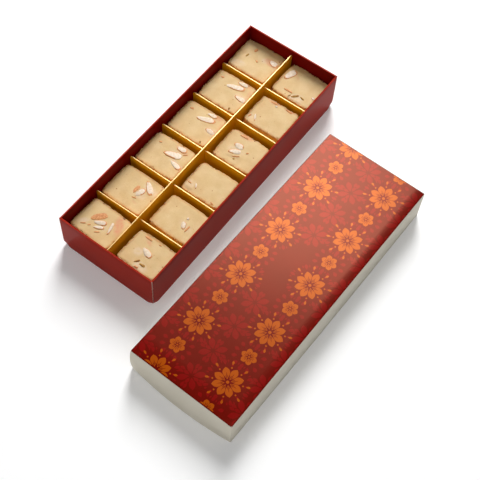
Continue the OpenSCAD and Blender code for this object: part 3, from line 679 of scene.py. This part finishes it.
for k in range(SWEETS):
    name = f"{k + 1:02d}"
    points = points_of(f"barfi_{name}")
    centre, turn, (length, width) = lie_of(points)
    foot, top = points[:, 2].min(), points[:, 2].max()
    values = {"Size": (length, width, top - foot), "Columns": round(length / PASTE_STEP),
              "Rows": round(width / PASTE_STEP), "Levels": round((top - foot) / PASTE_STEP),
              "Corner": PASTE_CORNER, "Edge": PASTE_EDGE, "Bulge": PASTE_BULGE,
              "Tear depth": TORN[k][4] * MM, "Torn low": (TORN[k][0], TORN[k][2], 0),
              "Torn high": (TORN[k][1], TORN[k][3], 0), "Seed": 0.31 * k, "Crumbs": CRUMBS,
              "Crumb size": CRUMB_SIZE, "Paste": paste, "Crumb": crumb_paste}
    sweet = grown(f"barfi_piece_{name}", sweet_tree, keys, values)
    spots = np.empty(len(sweet.data.vertices) * 3)
    sweet.data.vertices.foreach_get("co", spots)
    spots = spots.reshape(-1, 3)
    for kind in (ROSY, PALE, OLIVE):
        strength = np.zeros(len(spots))
        for along, across, long, wide, angle, stain, most in STAINS[k]:
            if stain != kind:
                continue
            a = math.radians(angle)
            x, y = spots[:, 0] - along * length / 2, spots[:, 1] - across * width / 2
            u, v = x * math.cos(a) + y * math.sin(a), y * math.cos(a) - x * math.sin(a)
            away = np.hypot(u / (long * MM / 2), v / (wide * MM / 2))
            strength = np.maximum(strength, 1.4 * most * np.clip((1.2 - away) / 0.6, 0, 1))
        strength *= np.clip((spots[:, 2] - (top - foot) / 2 + 4 * MM) / (3 * MM), 0, 1)
        stained = sweet.data.attributes.new(kind, "FLOAT", "POINT")
        stained.data.foreach_set("value", np.minimum(strength, 1))
    turned = Matrix.Rotation(turn, 4, "Z")
    sweet.data.transform(Matrix.Translation((centre.x, centre.y, (foot + top) / 2)) @ turned)
    piece(f"barfi_piece_{name}", sweet, [], f"sweet_{name}", [f"barfi_{name}"], SHARP_CRUMB)

# Nuts. Blanched almonds in thin slices with brown skin left along their edges, flakes of that
# skin, and slivers of pistachio, all pressed nearly flush into the soft paste.
ALMOND_TIP, ALMOND_FULLNESS, ALMOND_SPREAD = 0.26, 0.8, 1.14
NUT_CORNERS = 22
# Each ring of a nut's side, from below: its share of the outline and of the thickness.
NUT_PROFILE = [(0.94, 0.0), (1.0, 0.45), (0.98, 0.85), (0.8, 1.0)]
SKIN_SHARE = 0.6
SKIN_FLAKE_CORNERS = 12

# Waxy ivory flesh, faintly veined every 1.6 mm; a little light enters it and softens its edges.
FLESH, FLESH_PALE, FLESH_VEIN, VEIN_SIZE = "e6d2ba", "ebdac5", "dbc29f", 1.6 * MM
almond_flesh, tree, shader, place = surface(
    "blanched_almond_flesh", FLESH, Roughness=0.5, Subsurface_Weight=0.2,
    Subsurface_Radius=(1.5 * MM, 1.1 * MM, 0.8 * MM), Subsurface_Scale=1.0)
veins = node(tree, "ShaderNodeTexNoise", {"Vector": place, "Scale": 1 / VEIN_SIZE, "Detail": 3.0})
veins = node(tree, "ShaderNodeMapRange", {"Value": veins, "From Min": 0.35, "From Max": 0.7})
tree.links.new(node(tree, "ShaderNodeMix", {0: veins, 6: linear(FLESH_PALE), 7: linear(FLESH_VEIN)},
                    data_type="RGBA"), shader.inputs["Base Color"])

# Dry papery skin: matt tan, with darker wrinkles just under a millimetre apart.
SKIN, SKIN_DARK, SKIN_PALE, WRINKLE_SIZE = "dc944e", "c87a3a", "e8a768", 0.9 * MM
almond_skin, tree, shader, place = surface("tan_almond_skin", SKIN, Roughness=0.6)
wrinkles = node(tree, "ShaderNodeTexNoise", {"Vector": place, "Scale": 1 / WRINKLE_SIZE, "Detail": 4.0})
tone = node(tree, "ShaderNodeMapRange", {"Value": wrinkles, "From Min": 0.35, "From Max": 0.65})
tree.links.new(node(tree, "ShaderNodeMix", {0: tone, 6: linear(SKIN_DARK), 7: linear(SKIN_PALE)},
                    data_type="RGBA"), shader.inputs["Base Color"])
bump = node(tree, "ShaderNodeBump", {"Height": wrinkles, "Strength": 0.25, "Distance": 0.12 * MM})
tree.links.new(bump, shader.inputs["Normal"])

# Chopped pistachio browned by the warm paste: olive ochre in patches of about a millimetre.
KERNEL, KERNEL_BROWN, KERNEL_PALE, PATCH_SIZE = "b07a2c", "965816", "c4983a", 1.1 * MM
pistachio, tree, shader, place = surface("chopped_pistachio", KERNEL, Roughness=0.55)
mottle = node(tree, "ShaderNodeTexNoise", {"Vector": place, "Scale": 1 / PATCH_SIZE, "Detail": 3.0})
mottle = node(tree, "ShaderNodeMapRange", {"Value": mottle, "From Min": 0.38, "From Max": 0.62})
tree.links.new(node(tree, "ShaderNodeMix", {0: mottle, 6: linear(KERNEL_BROWN), 7: linear(KERNEL_PALE)},
                    data_type="RGBA"), shader.inputs["Base Color"])


def solids_of(name):
    """The corner points of each separate solid of a CAD node."""
    merged = bmesh.new()
    merged.from_mesh(frame["nodes"][name].data)
    bmesh.ops.remove_doubles(merged, verts=merged.verts, dist=0.001 * MM)
    found, seen = [], set()
    for first in merged.verts:
        if first in seen:
            continue
        group, todo = [], [first]
        seen.add(first)
        while todo:
            v = todo.pop()
            group.append(v.co[:])
            for edge in v.link_edges:
                other = edge.other_vert(v)
                if other not in seen:
                    seen.add(other)
                    todo.append(other)
        found.append(np.array(group))
    merged.free()
    return found


def nut(shape, points, outline, tilt, curl, dome, slots, chance):
    """A thin piece of nut where a CAD solid lies: closed, tilted and curled, ring by ring."""
    plan = points[:, :2] - (points[:, :2].max(0) + points[:, :2].min(0)) / 2
    middle = (points[:, :2].max(0) + points[:, :2].min(0)) / 2
    axis = np.linalg.eigh(np.cov(plan.T))[1][:, 1]
    side = np.array((-axis[1], axis[0]))
    length, width = np.ptp(plan @ axis), np.ptp(plan @ side)
    foot, top = points[:, 2].min(), points[:, 2].max()
    turn = Matrix.Rotation(math.atan2(axis[1], axis[0]), 4, "Z") @ Matrix.Rotation(tilt, 4, "X")
    jitter = chance.uniform(0.96, 1.04, NUT_CORNERS)
    rings = []
    for share, level in NUT_PROFILE + [(0.45, 1.0 + dome * 0.75)]:
        ring = []
        for k in range(NUT_CORNERS):
            x, y = outline(math.tau * k / NUT_CORNERS)
            x, y = x * share * jitter[k], y * share * jitter[k]
            z = (top - foot) * (level - 1) + curl * x * x
            spot = turn @ Vector((x * length / 2, y * width / 2, z))
            ring.append(shape.verts.new((spot.x + middle[0], spot.y + middle[1], spot.z + top)))
        rings.append(ring)
    crown = turn @ Vector((0, 0, (top - foot) * dome))
    crown = shape.verts.new((crown.x + middle[0], crown.y + middle[1], crown.z + top))
    skinned = chance.integers(0, NUT_CORNERS)
    for level, (lower, upper) in enumerate(zip(rings, rings[1:])):
        for k in range(NUT_CORNERS):
            j = (k + 1) % NUT_CORNERS
            face = shape.faces.new((lower[k], lower[j], upper[j], upper[k]))
            on_rim = level < 3 and (k - skinned) % NUT_CORNERS < NUT_CORNERS * SKIN_SHARE
            face.material_index = slots[1] if on_rim else slots[0]
    for k in range(NUT_CORNERS):
        face = shape.faces.new((rings[-1][k], rings[-1][(k + 1) % NUT_CORNERS], crown))
        face.material_index = slots[0]
    shape.faces.new(rings[0][::-1]).material_index = slots[0]


def almond_outline(a):
    """A slice of almond: round at one end and pointed at the other."""
    wide = math.copysign(ALMOND_SPREAD * abs(math.sin(a)) ** ALMOND_FULLNESS, math.sin(a))
    return math.cos(a), wide * (1 - ALMOND_TIP * math.cos(a))


def flake_outline(a):
    """A torn flake of skin."""
    return (math.cos(a) * (1 + 0.12 * math.sin(3 * a + 1)),
            math.sin(a) * (1 + 0.15 * math.cos(2 * a + 0.6)))


chance = np.random.default_rng(12)
for k in range(SWEETS):
    name = f"{k + 1:02d}"
    slices = bmesh.new()
    for points in solids_of(f"almonds_{name}"):
        nut(slices, points, almond_outline, math.radians(chance.uniform(-5, 5)),
            chance.uniform(-0.15, 0.1) * MM, 0.05, (0, 1), chance)
    bmesh.ops.recalc_face_normals(slices, faces=slices.faces)
    piece(f"almond_slices_{name}", slices, [almond_flesh, almond_skin], f"sweet_{name}",
          [f"almonds_{name}"])
    bits = bmesh.new()
    for points in solids_of(f"nut_bits_{name}"):
        is_skin = len(points) == SKIN_FLAKE_CORNERS
        nut(bits, points, flake_outline if is_skin else almond_outline,
            math.radians(chance.uniform(-6, 6)), chance.uniform(0, 0.25) * MM if is_skin else 0,
            0.08 if is_skin else 0.4, (0, 0) if is_skin else (1, 1), chance)
    bmesh.ops.recalc_face_normals(bits, faces=bits.faces)
    piece(f"nut_bits_{name}", bits, [almond_skin, pistachio], f"sweet_{name}",
          [f"nut_bits_{name}"])

# Lid. One blank of white folding board, printed and film-laminated on its top panel. Its four
# plain walls hang from creases and are glued at the corners, so they bow out towards the foot.
LID_BOARD = 0.4 * MM
LID_FOLD = 0.8 * MM
END_BULGE, SIDE_BULGE = 3.0 * MM, 0.6 * MM
CORNER_BULGE, CORNER_BULGE_REACH = 1.3 * MM, 14 * MM
WALL_STEPS = 24

points = points_of("lid")
lid_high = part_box("lid")[1]
on_top = points[:, 2] > lid_high.z - 0.05 * MM
lid_centre, lid_turn, (lid_len, lid_wid) = lie_of(points[on_top])
to_lid_place = Matrix.Translation((lid_centre.x, lid_centre.y, 0)) @ Matrix.Rotation(lid_turn, 4, "Z")


def lid_ring(shape, inset, level, bow):
    """One loop of the lid's wall in a bmesh, at a height, inside the outer face by the inset."""
    ring = []
    for side in range(4):
        reach, depth = (lid_len / 2, lid_wid / 2) if side % 2 == 0 else (lid_wid / 2, lid_len / 2)
        bulge = (SIDE_BULGE if side % 2 == 0 else END_BULGE) * bow
        reach, depth = reach - inset, depth - inset
        radius = max(LID_FOLD - inset, 0.3 * MM)
        turn = Matrix.Rotation(math.radians(90 * side), 2)
        for k in range(WALL_STEPS):
            s = 2 * k / WALL_STEPS - 1
            ring.append(turn @ Vector((s * (reach - radius), -depth - bulge * (1 - s * s))))
        for k in range(3):
            a = math.radians(30 * k)
            x, y = reach - radius + radius * math.sin(a), -depth + radius - radius * math.cos(a)
            ring.append(turn @ Vector((x, y)))
    made = []
    for p in ring:
        away = (p.x + lid_len / 2) ** 2 + (p.y - lid_wid / 2) ** 2
        push = CORNER_BULGE * math.exp(-away / CORNER_BULGE_REACH ** 2)
        push *= math.sin(math.pi * min(1, level / lid_high.z)) ** 0.8
        made.append(shape.verts.new((p.x - push, p.y + 0.5 * push, level)))
    return made


lid_shape = bmesh.new()
wall_levels = [v * MM for v in (0, 3, 6, 10, 14, 18, 22, 26)]
fold_from = lid_high.z - LID_FOLD
outside = [lid_ring(lid_shape, 0, z, 1 - z / lid_high.z) for z in wall_levels + [fold_from]]
for k in range(1, 5):
    a = math.radians(90 * k / 4)
    outside.append(lid_ring(lid_shape, LID_FOLD * (1 - math.cos(a)),
                            fold_from + LID_FOLD * math.sin(a), 0))
outside.append(lid_ring(lid_shape, 1.5 * LID_FOLD, lid_high.z, 0))
inside = [lid_ring(lid_shape, LID_BOARD, z, 1 - z / lid_high.z)
          for z in wall_levels + [lid_high.z - LID_BOARD]]
rings = inside[::-1] + outside
count = len(rings[0])
WHITE, PRINTED, CORE = 0, 1, 2
PRINTED_RINGS = 4
for number, (lower, upper) in enumerate(zip(rings, rings[1:])):
    for k in range(count):
        j = (k + 1) % count
        face = lid_shape.faces.new((lower[k], lower[j], upper[j], upper[k]))
        face.material_index = CORE if number == len(inside) - 1 else WHITE
        if number >= len(rings) - PRINTED_RINGS:
            face.material_index = PRINTED
lid_shape.faces.new(outside[-1]).material_index = PRINTED
lid_shape.faces.new(inside[-1][::-1]).material_index = WHITE
bmesh.ops.transform(lid_shape, matrix=to_lid_place, verts=lid_shape.verts)
bmesh.ops.recalc_face_normals(lid_shape, faces=lid_shape.faces)

# Uncoated cream-white side of the board: matt, with a faint cloud of about 25 mm in its tone.
CREAM, CREAM_DEEP, CREAM_PALE = "e1dac8", "dad2bf", "e7e1d2"
CLOUD_SIZE, PLAIN_FIBRE_SIZE = 25 * MM, 1.5 * MM
white_board, tree, shader, place = surface(
    "cream_white_folding_board", CREAM, Roughness=0.6, Specular_IOR_Level=0.12)
cloud = node(tree, "ShaderNodeTexNoise", {"Vector": place, "Scale": 1 / CLOUD_SIZE, "Detail": 3.0})
tree.links.new(node(tree, "ShaderNodeMix", {0: cloud, 6: linear(CREAM_DEEP), 7: linear(CREAM_PALE)},
                    data_type="RGBA"), shader.inputs["Base Color"])
fibres = node(tree, "ShaderNodeTexNoise", {
    "Vector": place, "Scale": 1 / PLAIN_FIBRE_SIZE, "Detail": 3.0})
bump = node(tree, "ShaderNodeBump", {"Height": fibres, "Strength": 0.1, "Distance": 0.1 * MM})
tree.links.new(bump, shader.inputs["Normal"])

CURL_DROP = 1.0 * MM
CURL_SIDE, CURL_END = 9 * MM, 17 * MM
SAG_DROP, SAG_REACH = 3.5 * MM, 200 * MM
WORN_SPOT = 1.3 * MM
FILM_TINT = (1.0, 0.88, 0.55, 1.0)
INK_DRIFT, BARE_CORNER = 18 * MM, "ecc4ba"


def film_print(name, dark, light, metal):
    """One ink under the lid's satin film, which shines with the ink's own colour in it."""
    made, tree, shader, place = surface(
        name, dark, Roughness=0.25, Metallic=metal, Specular_IOR_Level=0.19, Specular_Tint=FILM_TINT)
    drift = node(tree, "ShaderNodeTexNoise", {"Vector": place, "Scale": 1 / INK_DRIFT, "Detail": 4.0})
    inked = node(tree, "ShaderNodeMix", {0: drift, 6: linear(dark), 7: linear(light)},
                 data_type="RGBA")
    # The film pulls the panel down along one long edge and at the near end, and bows it lengthwise.
    place_on_lid = node(tree, "ShaderNodeMapping", {
        "Vector": place, "Location": (lid_centre.x, lid_centre.y, 0), "Rotation": (0, 0, lid_turn)},
        vector_type="TEXTURE")
    inward = node(tree, "ShaderNodeVectorMath", {0: place_on_lid, 1: (lid_len / 2, lid_wid / 2, 0)},
                  operation="ADD")
    worn = node(tree, "ShaderNodeVectorMath", {0: inward, 1: (1, 1, 0)}, operation="MULTIPLY")
    worn = node(tree, "ShaderNodeVectorMath", {0: worn}, operation="LENGTH").node.outputs["Value"]
    worn = node(tree, "ShaderNodeMapRange", {
        "Value": worn, "From Min": 0.6 * WORN_SPOT, "From Max": WORN_SPOT,
        "To Min": 0.9, "To Max": 0.0})
    inked = node(tree, "ShaderNodeMix", {0: worn, 6: inked, 7: linear(BARE_CORNER)}, data_type="RGBA")
    tree.links.new(inked, shader.inputs["Base Color"])
    fallen = node(tree, "ShaderNodeVectorMath", {0: inward, 1: (CURL_END, CURL_SIDE, 1)},
                  operation="DIVIDE")
    fallen = node(tree, "ShaderNodeVectorMath", {0: (1, 1, 0), 1: fallen}, operation="SUBTRACT")
    fallen = node(tree, "ShaderNodeVectorMath", {0: fallen, 1: (0, 0, 0)}, operation="MAXIMUM")
    fallen = node(tree, "ShaderNodeVectorMath", {0: fallen, 1: fallen}, operation="MULTIPLY")
    fallen = node(tree, "ShaderNodeVectorMath", {0: fallen, 1: (-1.0, -0.7, 0)},
                  operation="DOT_PRODUCT")
    sag = node(tree, "ShaderNodeSeparateXYZ", {0: inward}).node.outputs["X"]
    sag = node(tree, "ShaderNodeMapRange", {"Value": sag, "From Min": 0.0, "From Max": SAG_REACH,
                                            "To Min": 1.0, "To Max": 0.0})
    sag = node(tree, "ShaderNodeMath", {0: sag, 1: 2.0}, operation="POWER")
    fallen = node(tree, "ShaderNodeMath", {
        0: sag, 1: -SAG_DROP / CURL_DROP, 2: fallen.node.outputs["Value"]}, operation="MULTIPLY_ADD")
    curl = node(tree, "ShaderNodeBump", {"Height": fallen, "Distance": CURL_DROP})
    fibres = node(tree, "ShaderNodeTexNoise", {"Vector": place, "Scale": 1 / FIBRE_SIZE, "Detail": 3.0})
    bump = node(tree, "ShaderNodeBump", {
        "Height": fibres, "Strength": 0.1, "Distance": 0.1 * MM, "Normal": curl})
    tree.links.new(bump, shader.inputs["Normal"])
    return made


ground_ink = film_print("deep_red_ink_under_film", "6c0903", "780c05", 0.12)
leaf_ink = film_print("bright_red_ink_under_film", "84090a", "900c0c", 0.1)
orange_ink = film_print("orange_ink_under_film", "ac4a06", "b85206", 0.1)
piece("lid_board", lid_shape, [white_board, ground_ink, board_core], "lid", ["lid"])

# The print: rosettes and florets in a half-drop repeat, with leaf sprays in a second red between
# them and a bare patch in the middle. Each ink is a layer a few hundredths of a millimetre thick.
REPEAT = lid_len / 10
BARE_LEN, BARE_WID = 31 * MM, 15 * MM
PRINT_MARGIN = 0.3 * MM
PRINT_SUNK = 0.01 * MM
LEAF_SKEW = 1.3

print_tree, given, keys = geometry_tree("Half-drop print", {
    "Motif": "Geometry", "Columns": "Int", "Rows": "Int", "Column pitch": "Float",
    "Row pitch": "Float", "First": "Vector", "Drop": "Float", "Bare length": "Float",
    "Bare width": "Float", "Ink": "Material"})
spread = node(print_tree, "ShaderNodeCombineXYZ", {"X": given["Column pitch"]})
column = node(print_tree, "GeometryNodeMeshLine", {"Count": given["Columns"], "Offset": spread})
number = node(print_tree, "GeometryNodeInputIndex")
number = node(print_tree, "ShaderNodeMath", {0: number, 1: 2.0}, operation="MODULO")
drop = node(print_tree, "ShaderNodeMath", {0: number, 1: given["Drop"]}, operation="MULTIPLY")
drop = node(print_tree, "ShaderNodeCombineXYZ", {"Y": drop})
drop = node(print_tree, "ShaderNodeVectorMath", {0: drop, 1: given["First"]}, operation="ADD")
column = node(print_tree, "GeometryNodeSetPosition", {"Geometry": column, "Offset": drop})
climb = node(print_tree, "ShaderNodeCombineXYZ", {"Y": given["Row pitch"]})
rows = node(print_tree, "GeometryNodeMeshLine", {"Count": given["Rows"], "Offset": climb})
spots = node(print_tree, "GeometryNodeInstanceOnPoints", {"Points": column, "Instance": rows})
spots = node(print_tree, "GeometryNodeRealizeInstances", {"Geometry": spots})
away = node(print_tree, "GeometryNodeInputPosition")
away = node(print_tree, "ShaderNodeVectorMath", {0: away}, operation="ABSOLUTE")
away = node(print_tree, "ShaderNodeSeparateXYZ", {0: away}).node.outputs
in_length = node(print_tree, "FunctionNodeCompare", {0: away["X"], 1: given["Bare length"]},
                 operation="LESS_THAN")
in_width = node(print_tree, "FunctionNodeCompare", {0: away["Y"], 1: given["Bare width"]},
                operation="LESS_THAN")
in_patch = node(print_tree, "FunctionNodeBooleanMath", {0: in_length, 1: in_width}, operation="AND")
spots = node(print_tree, "GeometryNodeDeleteGeometry", {"Geometry": spots, "Selection": in_patch})
spots = node(print_tree, "GeometryNodeInstanceOnPoints", {"Points": spots, "Instance": given["Motif"]})
spots = node(print_tree, "GeometryNodeRealizeInstances", {"Geometry": spots})
spots = node(print_tree, "GeometryNodeSetMaterial", {"Geometry": spots, "Material": given["Ink"]})
node(print_tree, "NodeGroupOutput", {0: spots})


def leaf(start, tip, half_wid, angle, base=(0, 0), fullness=0.8, steps=9):
    """The outline of one leaf or petal in mm, from start to tip along a direction in degrees."""
    shares = [k / steps for k in range(steps + 1)]
    spine = [(start + (tip - start) * t,
              half_wid * max(0, math.sin(math.pi * t ** LEAF_SKEW)) ** fullness) for t in shares]
    edge = spine + [(x, -w) for x, w in reversed(spine[1:-1])]
    a = math.radians(angle)
    c, s = math.cos(a), math.sin(a)
    return [(base[0] + x * c - y * s, base[1] + x * s + y * c) for x, y in edge]


def disc(radius, distance, angle):
    """A round dot in mm, at a distance from the motif's middle."""
    a = math.radians(angle)
    return [(distance * math.cos(a) + radius * math.cos(math.tau * k / 12),
             distance * math.sin(a) + radius * math.sin(math.tau * k / 12)) for k in range(12)]


def motif(outlines):
    """A flat mesh of one motif, with one face for each outline."""
    shape = bmesh.new()
    for outline in outlines:
        shape.faces.new([shape.verts.new((x * MM, y * MM, 0)) for x, y in outline])
    return mesh_of(shape, "motif")


eighths = [45 * k for k in range(8)]
sixths = [60 * k + 30 for k in range(6)]
rosette = [leaf(2.1, 11.4, 2.7, a) for a in eighths] + [disc(1.2, 0, 0)]
rosette += [disc(0.65, 11.0, a + 22.5) for a in eighths]
rosette += [leaf(13.2, 16.4, 0.85, a + 22.5, fullness=0.6) for a in eighths]
rosette_veins = [leaf(2.6, 7.6 - abs(b) / 4, 0.2, a + b) for a in eighths for b in (-8, 0, 8)]
floret = [leaf(1.1, 6.4, 2.15, a) for a in sixths] + [disc(0.7, 0, 0)]
floret_veins = [leaf(1.5, 4.2, 0.17, a + b) for a in sixths for b in (-9, 9)]
wreath = [leaf(8.2, 12.6, 1.45, 30 * k) for k in range(12)]
garland = [leaf(13.0, 17.6, 1.3, a) for a in eighths]
garland += [leaf(11.8, 14.2, 0.9, a + 22.5) for a in eighths]
garland += [leaf(14.6, 17.0, 0.6, a + b) for a in eighths for b in (-9, 9)]
spray = [leaf(1.2, 10.5, 2.3, 90 * k + 45) for k in range(4)]
spray += [leaf(1.5, 6.6, 1.3, 90 * k) for k in range(4)]
for k in range(4):
    for b in (-44, 44):
        a = math.radians(90 * k + 45 + 0.75 * b)
        spray.append(leaf(0.6, 5.4, 1.25, 90 * k + 45 + b, (5.2 * math.cos(a), 5.2 * math.sin(a))))
row_y = lid_wid / 4
whole_repeat = {"Columns": 11, "Rows": 1, "Column pitch": REPEAT, "Row pitch": lid_wid,
                "Bare length": BARE_LEN, "Bare width": BARE_WID}
rosettes_at = {**whole_repeat, "First": (-lid_len / 2, row_y, 0), "Drop": -2 * row_y}
florets_at = {**whole_repeat, "First": (-lid_len / 2, -row_y, 0), "Drop": 2 * row_y}
sprays_at = {**whole_repeat, "Columns": 10, "Rows": 3, "Row pitch": 2 * row_y, "Drop": 0.0,
             "First": (-lid_len / 2 + REPEAT / 2, -2 * row_y, 0)}
layers = {
    "spray": (leaf_ink, 0.02 * MM, [(spray, sprays_at)]),
    "wreath": (leaf_ink, 0.026 * MM, [(wreath, florets_at)]),
    "garland": (leaf_ink, 0.032 * MM, [(garland, rosettes_at)]),
    "orange": (orange_ink, 0.04 * MM, [(rosette, rosettes_at), (floret, florets_at)]),
    "vein": (ground_ink, 0.05 * MM, [(rosette_veins, rosettes_at), (floret_veins, florets_at)]),
}
for layer, (ink, thickness, motifs) in layers.items():
    inked = bmesh.new()
    for number, (outlines, places) in enumerate(motifs):
        part = grown(f"{layer}_{number}", print_tree, keys, {**places, "Ink": ink}, motif(outlines))
        inked.from_mesh(part.data)
        bpy.data.objects.remove(part)
    margin = LID_FOLD + PRINT_MARGIN
    for x, y in ((1, 0), (-1, 0), (0, 1), (0, -1)):
        edge = (x * (lid_len / 2 - margin), y * (lid_wid / 2 - margin), 0)
        bmesh.ops.bisect_plane(inked, geom=inked.verts[:] + inked.edges[:] + inked.faces[:],
                               plane_co=edge, plane_no=(x, y, 0), clear_outer=True)
    raised = bmesh.ops.extrude_face_region(inked, geom=inked.faces[:], use_keep_orig=True)["geom"]
    bmesh.ops.translate(inked, vec=(0, 0, thickness + PRINT_SUNK),
                        verts=[v for v in raised if isinstance(v, bmesh.types.BMVert)])
    # Extruding adds its sides in no fixed order, so edges and faces are put in that of their points.
    inked.verts.index_update()
    for parts in (inked.edges, inked.faces):
        in_order = sorted(parts, key=lambda part: sorted(v.index for v in part.verts))
        for number, part in enumerate(in_order):
            part.index = number
        parts.sort()
    to_top = Matrix.Translation((0, 0, lid_high.z - PRINT_SUNK))
    bmesh.ops.transform(inked, matrix=to_top @ to_lid_place, verts=inked.verts)
    bmesh.ops.recalc_face_normals(inked, faces=inked.faces)
    piece(f"print_{layer}_ink", inked, [ink], "lid", [])

# Stage. A pale floor that runs on to the horizon, one tall soft box high up behind the tray, a
# weak one overhead and a weaker one low down before its near end.
FLOOR_HALF, FLOOR_DROP, FLOOR_LIFT = 6.0, 0.02 * MM, 0.1
SKY_LIGHT = 0.14


def seen_rays(tree):
    """1 for rays from the camera and for those that mirrors or glass pass on, 0 for others."""
    rays = node(tree, "ShaderNodeLightPath").node.outputs
    seen = node(tree, "ShaderNodeMath", {0: rays["Is Camera Ray"], 1: rays["Is Glossy Ray"]},
                operation="MAXIMUM")
    return node(tree, "ShaderNodeMath", {0: seen, 1: rays["Is Transmission Ray"]}, operation="MAXIMUM")


floor_paint, tree, shader, _ = surface(
    "matt_white_floor", "fbfbfb", Roughness=0.9, Specular_IOR_Level=0.0)
lift = node(tree, "ShaderNodeMath", {0: seen_rays(tree), 1: FLOOR_LIFT}, operation="MULTIPLY")
glow = node(tree, "ShaderNodeEmission", {"Color": (1, 1, 1, 1), "Strength": lift})
both = node(tree, "ShaderNodeAddShader", {0: shader.outputs[0], 1: glow})
tree.links.new(both, tree.nodes["Material Output"].inputs["Surface"])
ground_shape = bmesh.new()
bmesh.ops.create_grid(ground_shape, x_segments=1, y_segments=1, size=FLOOR_HALF)
ground_mesh = mesh_of(ground_shape, "floor", floor_paint)
ground_mesh.transform(Matrix.Translation((0, 0, -FLOOR_DROP)))
ground = bpy.data.objects.new("floor", ground_mesh)
placed.link(ground)

world = bpy.data.worlds.new("studio")
world.use_nodes = True
tree = world.node_tree
aim = node(tree, "ShaderNodeTexCoord").node.outputs["Generated"]
aim = node(tree, "ShaderNodeSeparateXYZ", {0: aim}).node.outputs["Z"]
backdrop = node(tree, "ShaderNodeMapRange", {"Value": aim, "From Min": 0.35, "From Max": 0.5,
                                             "To Min": 1.0, "To Max": 0.05})
sky = node(tree, "ShaderNodeMix", {0: seen_rays(tree), 2: SKY_LIGHT, 3: backdrop})
tree.links.new(sky, tree.nodes["Background"].inputs["Strength"])
tree.nodes["Background"].inputs["Color"].default_value = (1, 1, 1, 1)
bpy.context.scene.world = world

# Each lamp: power in watts, width and height, and place, all in metres.
LAMPS = {"soft_box": (95, 0.95, 1.9, (1.79, 0.92, 2.16)),
         "top_fill": (12, 1.6, 1.6, (-0.67, -0.94, 2.85)),
         "low_fill": (8.5, 1.5, 1.0, (-2.5, 0.3, 1.0))}
LIT_POINT = Vector((-0.05, -0.05, 0))
for label, (power, width, height, spot) in LAMPS.items():
    light = bpy.data.lights.new(label, "AREA")
    light.shape = "RECTANGLE"
    light.size, light.size_y = width, height
    light.energy = power
    lamp = bpy.data.objects.new(label, light)
    lamp.location = spot
    lamp.rotation_euler = (LIT_POINT - lamp.location).to_track_quat("-Z", "Y").to_euler()
    placed.link(lamp)

# Camera. It looks down at 60 degrees from beyond the tray's near end, slightly rolled.
HEADING, DOWN, ROLL = math.radians(57.527), math.radians(59.832), math.radians(4.639)
CAMERA_SPOT = (-0.3708, -0.2753, 0.6861)
lens = bpy.data.cameras.new("camera")
lens.sensor_width = 36
lens.lens = 76.39
camera = bpy.data.objects.new("camera", lens)
right = Vector((math.cos(HEADING), -math.sin(HEADING), 0))
ahead = Vector((math.cos(DOWN) * math.sin(HEADING), math.cos(DOWN) * math.cos(HEADING),
                -math.sin(DOWN)))
up = right.cross(ahead)
c, s = math.cos(ROLL), math.sin(ROLL)
turn = Matrix((right * c + up * s, up * c - right * s, -ahead)).transposed().to_4x4()
camera.matrix_world = Matrix.Translation(CAMERA_SPOT) @ turn
placed.link(camera)
bpy.context.scene.camera = camera
bpy.context.scene.view_settings.view_transform = "Standard"
